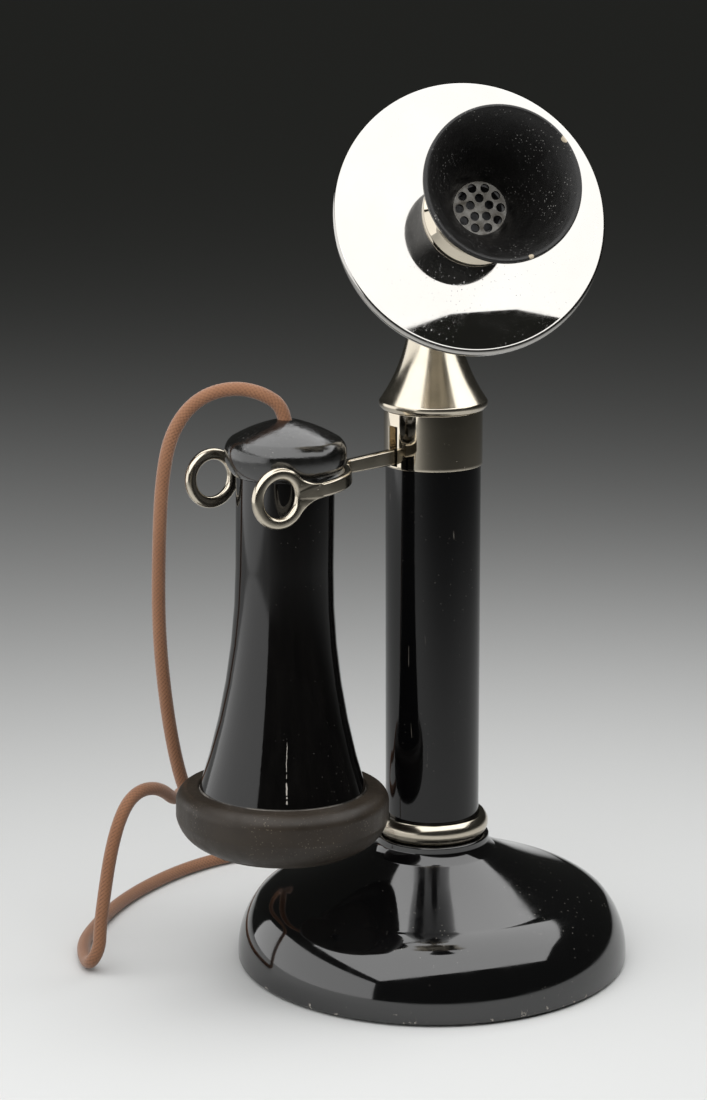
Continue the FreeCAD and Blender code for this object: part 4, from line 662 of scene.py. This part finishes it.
# The fork is a half circle with a short straight tongue at each end, which enters its eye.
bow = np.linspace(-math.pi / 2, math.pi / 2, 97)
tongue = np.linspace(0.0021, 0.0, 4)[:-1]
fork_path = np.concatenate([level(fork_x - tongue, -FORK_R),
                            level(fork_x + FORK_R * np.cos(bow), FORK_R * np.sin(bow)),
                            level(fork_x - tongue[::-1], FORK_R)])
fork_across = np.concatenate([level(0.0 * tongue, -1.0), level(np.cos(bow), np.sin(bow)),
                              level(0.0 * tongue, 1.0)])
rows = len(fork_path)
fork = bar_along("fork_bow", fork_path, fork_across, np.full(rows, PRONG_HALF),
                 np.full(rows, PRONG_RISE), ROUND, hook_place)

# The lever grows a little taller towards its pivot, and widens into the bow by a hollow fillet.
LEVER_HALF = 0.0014
LEVER_FILLET = 0.004
lever_x = np.linspace(fork_x + FORK_R + 0.0002, -0.006, 90)
from_bow = np.clip(lever_x - (fork_x + FORK_R + PRONG_HALF), 0.0, LEVER_FILLET)
lever_half = (LEVER_HALF + LEVER_FILLET
              - np.sqrt(LEVER_FILLET ** 2 - (LEVER_FILLET - from_bow) ** 2))
lever_rise = np.interp(lever_x, (fork_x + FORK_R, 0.0), (0.00218, 0.00298))
lever = bar_along("hook_lever", level(lever_x, 0.0), level(0.0 * lever_x, 1.0), lever_half,
                  lever_rise, 0.0006, hook_place)


def eye_plate(name, side):
    """A flat eye that flows into its prong: a section carried round the eye's centre.

    The section runs from the hole to an outline that is the eye's circle, then a hollow fillet
    tangent to it and to the prong, then a cut across the prong inside the bow's end."""
    around_eye = np.linspace(-math.pi, math.pi, EYE_STEPS, endpoint=False)
    ahead = np.array((math.sqrt((EYE_R + FILLET) ** 2 - (PRONG_RISE + FILLET) ** 2),
                      PRONG_RISE + FILLET))
    touch = math.atan2(ahead[1], ahead[0])
    rays = np.abs(around_eye)
    toward = ahead[0] * np.cos(rays) + ahead[1] * np.sin(rays)
    inside = np.maximum(toward ** 2 - (ahead @ ahead - FILLET ** 2), 0.0)
    outline = np.where(rays > touch, EYE_R, toward - np.sqrt(inside))
    prong = np.minimum(PRONG_END / np.cos(np.minimum(rays, 1.2)),
                       PRONG_RISE / np.maximum(np.sin(rays), 1e-6))
    outline = np.where(rays < math.atan2(PRONG_RISE, ahead[0]), prong, outline)
    middle, spread = (outline + EYE_HOLE) / 2, (outline - EYE_HOLE) / 2
    wide, tall = rounded_section(spread, np.full(EYE_STEPS, EYE_HALF), EYE_ROUND)
    share = np.clip((wide + middle[:, None] - EYE_R) / 0.004, 0.0, 1.0)
    share = share * share * (3 - 2 * share)
    tall = tall * (1 - share * (1 - (PRONG_HALF - 0.00001) / EYE_HALF))
    radius = wide + middle[:, None]
    grid = np.stack([eye_x + radius * np.cos(around_eye)[:, None],
                     side * FORK_R + tall, radius * np.sin(around_eye)[:, None]], 2)
    return true_flats(close_up(grid_mesh(name, placed(grid, hook_place), closed_along=True)))


for side, name in ((-1, "left_eye"), (1, "right_eye")):
    dress(eye_plate(name + "_forged", side), "hook", satin_nickel, name, slot="nickel")
dress(fork, "hook", satin_nickel, "hook_fork", slot="nickel")
dress(lever, "hook", satin_nickel, slot="nickel")
lever_boss = turned("lever_boss", [
    (1.55, -3.9), (4.0, -3.9), (4.0, 3.9), (1.55, 3.9)], 64,
    hook_place @ Matrix.Rotation(math.radians(90), 4, "X"))
dress(soft_edges(lever_boss), "hook", nickel, slot="nickel")

# ---------------------------------------------------------------- head
# A spun nickel cone that turns on the collar by hand and ends in two ears. A screw and a thumb
# nut through them hold the transmitter at the tilt that it is set to.

HEAD_TURN = math.radians(-22.9)
FLUTES = 24
FLUTE_DEPTH = 0.045
head_place = Matrix.Rotation(HEAD_TURN, 4, "Z")
tilt_pivot = Vector(joints["transmitter_tilt"]["pos_m"])
cone = turned("swivel_cone", [
    (5.0, 187.5), (12.52, 187.5), (12.52, 191.2), (17.0, 191.2), (18.0, 192.5), (18.0, 193.8),
    (17.2, 195.0, -56.0), (8.5, 217.0), (0, 217.0), (0, 212.0), (5.0, 209.0)], 256, head_place)
dress(soft_edges(cone, 0.00035), "head", satin_nickel, "head_cone", slot="nickel")


def flat_piece(name, outline, thickness, place):
    """A flat plate from a closed outline of (across, up) points, centred on its own plane."""
    count = len(outline)
    sheet = [np.column_stack([outline, np.full(count, level)])
             for level in (-thickness / 2, thickness / 2)]
    points = placed(np.concatenate(sheet), place)
    ring_index = np.arange(count)
    after = (ring_index + 1) % count
    walls = np.stack([ring_index, after, after + count, ring_index + count], 1).tolist()
    mesh = bpy.data.meshes.new(name)
    caps = [ring_index[::-1].tolist(), (ring_index + count).tolist()]
    mesh.from_pydata(points, [], walls + caps)
    return close_up(linked(name, mesh))


EAR_OUT = 0.0057
EAR_T = 0.003
ear_outline = profile([(-6, 213.5), (6, 213.5), (6, 228, 6), (0, 234, 6), (-6, 228)])
upright = Matrix(((0, 0, 1, 0), (1, 0, 0, 0), (0, 1, 0, 0), (0, 0, 0, 1)))
for side, name in ((-1, "left"), (1, "right")):
    ear = flat_piece("cone_ear_" + name, ear_outline, EAR_T,
                     head_place @ Matrix.Translation((side * EAR_OUT, 0, 0)) @ upright)
    dress(soft_edges(ear, 0.0004), "head", nickel, slot="nickel")

cross = head_place @ Matrix.Translation(tilt_pivot) @ Matrix.Rotation(math.radians(90), 4, "Y")
bolt = turned("tilt_screw_nickel", [
    (0, -10.6), (2.0, -10.6), (2.0, 7.2), (4.2, 7.2), (4.2, 8.5), (2.52, 9.8), (0, 9.8)],
    72, cross, closed=False)


def slotted(piece, places, width, length, depth):
    """The piece less a straight screwdriver slot at each place, which lies at the slot's foot."""
    cutters = bmesh.new()
    for place in places:
        box = Matrix.Diagonal((length, width, depth * 2, 1))
        bmesh.ops.create_cube(cutters, size=1.0,
                              matrix=place @ Matrix.Translation((0, 0, depth)) @ box)
    return cut_by(piece, cutters)


slotted(bolt, [cross @ Matrix.Translation((0, 0, 0.0089))], 0.0009, 0.012, 0.001)
dress(soft_edges(bolt, 0.0002), "head", nickel, "tilt_screw", slot="nickel")
# The nut's edge is fluted: its radius dips by a squared cosine of the angle, once per flute.
NUT_STEPS = 192
nut_angles = np.linspace(0.0, 2 * math.pi, NUT_STEPS, endpoint=False)
flutes = 1.0 - FLUTE_DEPTH * (0.5 + 0.5 * np.cos(nut_angles * FLUTES)) ** 2
nut_line = profile([(2.05, -10.6), (4.16, -10.6), (5.2, -9.6), (5.2, -7.2), (2.05, -7.2)])
nut_ray = nut_line[:, :1] * np.where(nut_line[:, :1] > 0.003, flutes[None, :], 1.0)
nut_grid = np.stack([nut_ray * np.cos(nut_angles), nut_ray * np.sin(nut_angles),
                     np.repeat(nut_line[:, 1:], NUT_STEPS, 1)], 2)
nut = close_up(grid_mesh("tilt_thumb_nut", placed(nut_grid, cross), closed_along=True))
dress(nut, "head", nickel, "tilt_nut", slot="nickel")

# ---------------------------------------------------------------- transmitter
# A mirror-bright domed plate with a rolled rim over a spun nickel cup. Each piece is turned
# about the transmitter's own axis, which faces 19.9 degrees up.

FACING_UP = math.radians(19.9)
PIVOT_TO_VOICE = (0, 0.0121, 0.0579)
facing = Matrix.Rotation(math.pi / 2 - FACING_UP, 4, "X")
voice = (head_place @ Matrix.Translation(tilt_pivot) @ facing
         @ Matrix.Translation(PIVOT_TO_VOICE))


def mirror_finish():
    """The face plate: polished nickel, dulled by dust that settles towards its lower part."""
    material, tree, shader, where = new_finish("face_plate_nickel", Metallic=1.0)
    clouds = noise(tree, where, 30.0, 5.0, 0.6)
    plate = mix(tree, span(tree, clouds, 0.35, 0.7), (0.452, 0.440, 0.418), (0.423, 0.411, 0.39))
    grains = add(tree, "TexVoronoi", Vector=where, Scale=760.0).outputs["Distance"]
    patches = span(tree, noise(tree, where, 45.0, 4.0), 0.42, 0.7)
    up = add(tree, "SeparateXYZ", Vector=where).outputs[2]
    low = span(tree, up, 0.262, 0.238, 0.25, 1.0)
    specks = product(tree, span(tree, grains, 0.22, 0.10), patches, low)
    tree.links.new(mix(tree, specks, plate, (0.50, 0.51, 0.52)), shader.inputs["Base Color"])
    tree.links.new(span(tree, specks, 0.0, 1.0, 1.0, 0.4), shader.inputs["Metallic"])
    wipes = noise(tree, where, 300.0, 4.0, 0.65, (0.3, 1.0, 1.0))
    haze = span(tree, wipes, 0.45, 0.85, 0.03, 0.10)
    tree.links.new(sums(tree, "ADD", haze, product(tree, specks, 0.4)),
                   shader.inputs["Roughness"])
    return material


face = turned("face_plate_dome", [
    (12.7, 3.732, -171.04), (41.2, -0.727), (41.3, -2.6), (42.4, -2.6), (43.0, -2.0),
    (43.0, -1.2, 1.8), (41.2, 0.4, 172.24), (12.7, 4.932)], 256, voice)
dress(soft_edges(face, 0.00015), "transmitter", mirror_finish(), "face_plate", slot="nickel")
cup = turned("back_cup_spun", [
    (0, -34), (24, -34, 9.5), (33, -24.5), (33, -2.4), (41.2, -2.4), (41.2, -1.0),
    (31.8, -1.0), (31.8, -24.5, -8.3), (24, -32.8), (0, -32.8)], 256, voice, closed=False)
dress(soft_edges(cup), "transmitter", nickel, "back_cup", slot="nickel")


def screw_heads(name, places, head_r, head_t, body, *replaced):
    """Round-headed slotted screws whose heads stand on these places along +Z."""
    for number, place in enumerate(places):
        head = turned("{}_{}".format(name, number + 1), [
            (0, -1.6), (head_r * 0.5, -1.6), (head_r * 0.5, 0), (head_r, 0),
            (head_r, head_t * 0.35, head_r * 1.05), (0, head_t)], 48, place, closed=False)
        slotted(head, [place @ Matrix.Translation((0, 0, head_t * 0.62 * MM))],
                0.0005, head_r * 0.0022, 0.001)
        dress(soft_edges(head, 0.0001), body, nickel, *replaced, slot="nickel")


LUG_HALF = 0.006
LUG_DROP = -0.008
turn_back = Matrix.Rotation(math.pi, 4, "X")
rim_places = [voice @ place @ turn_back for place in around(3, 0.0368, 90.0, -0.0024)]
screw_heads("cup_screw", rim_places, 2.1, 1.3, "transmitter", "cup_screws")
lug_places = [voice @ Matrix.Translation((side * LUG_HALF, LUG_DROP, -0.037)) @ turn_back
              for side in (-1, 1)]
screw_heads("lug_screw", lug_places, 1.8, 1.2, "transmitter", "lug_screws")

lug_foot = turned("lug_foot", [(0, -37), (10, -37), (10, -34), (0, -34)], 128,
                  voice @ Matrix.Translation((0, LUG_DROP, 0)), closed=False)
dress(soft_edges(lug_foot, 0.0005), "transmitter", nickel, "transmitter_lug", slot="nickel")
arm_line = profile([(-18.1, -57.9, 6), (-6.1, -57.9), (-2.0, -35.5), (-16.0, -35.5)])
arm = flat_piece("lug_arm", arm_line, 0.008, voice @ upright)
dress(soft_edges(arm, 0.0008), "transmitter", nickel, slot="nickel")

ferrule = turned("ferrule", [
    (11.6, 3.132), (12.65, 3.132), (12.65, 4.932), (16.5, 4.932), (16.5, 7.132),
    (14.9, 9.132, -6), (13.8, 12.032), (11.6, 12.032)], 192, voice)
dress(soft_edges(ferrule, 0.0003), "transmitter", nickel, "mouthpiece_ferrule", slot="nickel")

# ---------------------------------------------------------------- mouthpiece
# A moulded hard-rubber bell, gone matt and brown-grey with age, chipped at its lip and dusty
# inside, with a small perforated steel plate across its throat.


def dusty_rubber(name, colour, rough, gloss, dust_colour, dust_from, chips=()):
    """Aged hard rubber: an uneven matt black with pale dust lodged in it, fine scuffs and a
    brown chip round each of the given places, as (place, radius)."""
    material, tree, shader, where = new_finish(name, Specular_IOR_Level=gloss)
    clouds = noise(tree, where, 60.0, 5.0, 0.6)
    tone = mix(tree, span(tree, clouds, 0.3, 0.7), colour, tuple(part * 1.7 for part in colour))
    grains = add(tree, "TexVoronoi", Vector=where, Scale=950.0).outputs["Distance"]
    patches = span(tree, noise(tree, where, 80.0, 4.0, 0.65), dust_from, dust_from + 0.2)
    specks = product(tree, span(tree, grains, 0.24, 0.10), patches)
    tone = mix(tree, product(tree, specks, 0.6), tone, dust_colour)
    ragged = product(tree, noise(tree, where, 700.0, 3.0, 0.6), 0.0016)
    for place, radius in chips:
        off = add(tree, "VectorMath", {"operation": "DISTANCE"}, _0=where, _1=place)
        edge = sums(tree, "ADD", off.outputs["Value"], ragged)
        tone = mix(tree, span(tree, edge, radius + 0.0009, radius + 0.0007), tone,
                   (0.34, 0.29, 0.21))
    tree.links.new(tone, shader.inputs["Base Color"])
    scuffs = noise(tree, where, 260.0, 4.0, 0.65, (1.0, 1.0, 0.35))
    tree.links.new(span(tree, scuffs, 0.35, 0.8, rough, rough + 0.22), shader.inputs["Roughness"])
    bumped(tree, shader, noise(tree, where, 700.0, 3.0), 0.00005)
    return material


lip_chips = [((-0.0149, -0.0862, 0.2856), 0.0012), ((-0.0319, -0.0923, 0.2523), 0.0008),
             ((-0.0355, -0.0856, 0.2859), 0.0007)]
bell_rubber = dusty_rubber("aged_bell_rubber", (0.004, 0.0038, 0.0036), 0.30, 0.35,
                           (0.36, 0.35, 0.33), 0.46, lip_chips)
bell = turned("mouthpiece_bell", [
    (6.95, 3.132), (11.55, 3.132), (11.55, 12.032), (13.2, 12.032, -78), (23.1, 38.032),
    (23.9, 40.432), (23.9, 41.532, 0.7), (23.1, 42.032), (22.2, 41.432, 76.3), (8.35, 12.032),
    (8.35, 10.832), (6.95, 10.832)], 256, voice)
dress(soft_edges(bell, 0.0003), "transmitter", bell_rubber, "mouthpiece", slot="mouthpiece_black")


def worn_grey(name):
    """Dull grey plate: thin worn nickel over steel, stained brown at its edge."""
    material, tree, shader, where = new_finish(name, Metallic=0.6)
    stains = noise(tree, where, 260.0, 5.0, 0.65)
    tone = mix(tree, span(tree, stains, 0.4, 0.75), (0.125, 0.12, 0.11), (0.055, 0.047, 0.035))
    tree.links.new(tone, shader.inputs["Base Color"])
    tree.links.new(span(tree, stains, 0.3, 0.7, 0.34, 0.6), shader.inputs["Roughness"])
    bumped(tree, shader, stains, 0.00006)
    return material


grille = turned("perforated_plate", [(0, 10.832), (8.3, 10.832), (8.3, 12.032), (0, 12.032)],
                96, voice, closed=False)
MID_GRILLE = 0.0114
HOLE_R = 0.0014
holes = [voice @ place for place in (around(10, 0.00645, 72.0, MID_GRILLE)
                                     + around(5, 0.0031, 90.0, MID_GRILLE))]
drilled(grille, holes, HOLE_R, 0.01, 24)
dress(soft_edges(grille, 0.00012), "transmitter", worn_grey("grille_plate"), "mouthpiece_grille",
      slot="grille_steel")

# ---------------------------------------------------------------- receiver
# A slim flared shell of glossy hard rubber between a bulging top cap, by which it hangs in the
# fork, and a broad ear cap in an older, browner satin rubber. An old crack runs up its front.

HUNG_LEAN = math.radians(1.2)
CRACK_TURN = math.radians(30.1)
SHELL_TOP = 0.175333
hung = Matrix.Translation((RECEIVER_X, 0, SHELL_TOP)) @ Matrix.Rotation(HUNG_LEAN, 4, "Y")


def shell_finish():
    """Glossy hard rubber: faint lengthwise streaks, dust, a crack up the front, a painted glint
    round the foot.

    The crack follows a plane through the shell's own axis: its distance from that plane is
    turned into a thin line, which wanders, widens downwards and is broken by a noise."""
    material, tree, shader, where = new_finish("glossy_hard_rubber", Specular_IOR_Level=0.42)
    streaks = noise(tree, where, 240.0, 4.0, 0.6, (1.0, 1.0, 0.05))
    tone = mix(tree, span(tree, streaks, 0.4, 0.8), (0.002, 0.0018, 0.0018),
               (0.004, 0.0036, 0.0034))
    grains = add(tree, "TexVoronoi", Vector=where, Scale=520.0).outputs["Distance"]
    patches = span(tree, noise(tree, where, 34.0, 4.0), 0.52, 0.75)
    specks = product(tree, span(tree, grains, 0.10, 0.04), patches)
    tone = mix(tree, product(tree, specks, 0.4), tone, (0.35, 0.33, 0.30))
    back = hung.inverted()
    own = add(tree, "Mapping", Vector=where, Location=tuple(back.translation),
              Rotation=tuple(back.to_euler())).outputs[0]
    right, behind, up = add(tree, "SeparateXYZ", Vector=own).outputs
    across = sums(tree, "ADD", product(tree, right, -math.cos(CRACK_TURN)),
                  product(tree, behind, math.sin(CRACK_TURN)))
    ragged = sums(tree, "SUBTRACT", noise(tree, own, 160.0, 4.0, 0.7), 0.5)
    wander = product(tree, ragged, 0.0014)
    off_line = sums(tree, "ABSOLUTE", sums(tree, "ADD", across, wander))
    wide = span(tree, up, -0.094, -0.0965, 0.00012, 0.00030)
    thin = span(tree, sums(tree, "DIVIDE", off_line, wide), 1.0, 0.55)
    gaps = span(tree, noise(tree, own, 620.0, 2.0, 0.5, (0.2, 0.2, 1.0)), 0.42, 0.47)
    front = span(tree, behind, -0.004, -0.006)
    start = span(tree, up, -0.0825, -0.0845)
    stop = span(tree, up, -0.1025, -0.1015)
    crack = product(tree, thin, gaps, front, start, stop)
    # Painted highlight: a broken pale band just above the shell's foot stands in for a glint on
    # its rim.
    foot = product(tree, span(tree, up, -0.1034, -0.1038),
                   span(tree, noise(tree, own, 90.0, 3.0), 0.35, 0.6, 0.1, 0.7))
    # One mask for the real crack and the painted glint at the foot: both get the pale colour,
    # more roughness and a slight dip.
    worn = sums(tree, "MAXIMUM", crack, foot)
    tree.links.new(mix(tree, worn, tone, (0.42, 0.39, 0.35)), shader.inputs["Base Color"])
    rough = span(tree, streaks, 0.35, 0.8, 0.05, 0.12)
    tree.links.new(sums(tree, "MAXIMUM", rough, product(tree, worn, 0.8)),
                   shader.inputs["Roughness"])
    bumped(tree, shader, sums(tree, "SUBTRACT", product(tree, streaks, 0.15), worn), 0.0001)
    return material


shell = turned("receiver_shell_flared", [
    (25.0, -115.5), (27.2, -115.5), (27.2, -104.6), (27.5, -104.6, -245.7), (15.9, -30.0),
    (15.9, 0), (13.7, 0), (13.7, -30.0, 247.9), (23.6, -102.4), (23.6, -106.4),
    (25.0, -106.4)], 256, hung)
dress(soft_edges(shell), "receiver", shell_finish(), "receiver_shell", slot="gloss_hard_rubber")
cap_rubber = dusty_rubber("worn_cap_rubber", (0.004, 0.0039, 0.0037), 0.10, 0.95,
                          (0.26, 0.25, 0.23), 0.48)
cap = turned("receiver_top_cap", [
    (0, -6), (13.55, -6), (13.55, 0), (16.4, 0, 9.8), (19.6, 7.8, 5.5), (17.4, 12.2, 50),
    (2.6, 18.2), (2.6, 13.0), (0, 13.0)], 256, hung, closed=False)
dress(soft_edges(cap, 0.0004), "receiver", cap_rubber, "receiver_cap", slot="gloss_hard_rubber")
ear_rubber = dusty_rubber("satin_ear_rubber", (0.018, 0.0135, 0.0095), 0.36, 0.3,
                          (0.20, 0.17, 0.13), 0.44)
ear_cap = turned("ear_cap_turned", [
    (23.6, -123.6), (25.8, -123.6), (26.6, -122.7), (27.2, -122.6, 12.5), (35.0, -113.4),
    (35.0, -108.6, 4.6), (31.4, -103.9), (28.05, -103.6), (27.65, -104.0), (27.65, -104.8),
    (27.35, -104.8), (27.35, -115.9), (25.15, -115.9), (25.15, -117.6), (4.6, -117.6),
    (4.6, -119.2, -65.0)], 256, hung)
dress(soft_edges(ear_cap, 0.0004), "receiver", ear_rubber, "ear_cap", slot="satin_hard_rubber")

# ---------------------------------------------------------------- floor
# Plain pale paper that fills every view. It keeps the telephone's shadow and fades into the
# dark of the room behind.

FLOOR_HALF = 15.0
paper = bpy.data.materials.new("pale_paper")
paper.use_nodes = True
paper_shader = paper.node_tree.nodes["Principled BSDF"]
paper_shader.inputs["Base Color"].default_value = (0.63, 0.635, 0.63, 1.0)
paper_shader.inputs["Roughness"].default_value = 0.9
paper_shader.inputs["Specular IOR Level"].default_value = 0.2
floor_mesh = bpy.data.meshes.new("floor")
floor_corners = [(x * FLOOR_HALF, y * FLOOR_HALF, 0)
                 for x, y in ((-1, -1), (1, -1), (1, 1), (-1, 1))]
floor_mesh.from_pydata(floor_corners, [], [(0, 1, 2, 3)])
floor = linked("floor", floor_mesh)
floor.data.materials.append(paper)

# ---------------------------------------------------------------- light
# A broad softbox close over the telephone, lower at its front edge, and a wide soft panel at the
# left, in a room of plain dark grey, so that black enamel and nickel show soft-edged reflections.


def panel(name, location, target, width, height, glow):
    """A soft rectangle that faces a point; its watts are its glow x pi x its area."""
    lamp = bpy.data.lights.new(name, "AREA")
    lamp.shape = "RECTANGLE"
    lamp.size = width
    lamp.size_y = height
    lamp.energy = glow * math.pi * width * height
    holder = linked(name, lamp)
    holder.location = location
    holder.rotation_euler = (Vector(location) - Vector(target)).to_track_quat("Z", "Y").to_euler()
    holder.visible_camera = False


panel("over_softbox", (-0.080, -0.058, 0.369), (-0.035, 0.193, -0.597), 0.95, 0.62, 2.35)
panel("left_panel", (-0.713, 0.363, 0.225), (0.0, 0.0, 0.225), 1.8, 0.45, 1.6)

world = bpy.data.worlds.new("studio")
bpy.context.scene.world = world
world.use_nodes = True
sky = world.node_tree.nodes["Background"]
sky.inputs["Color"].default_value = (0.023, 0.0235, 0.0215, 1.0)
sky.inputs["Strength"].default_value = 1.0
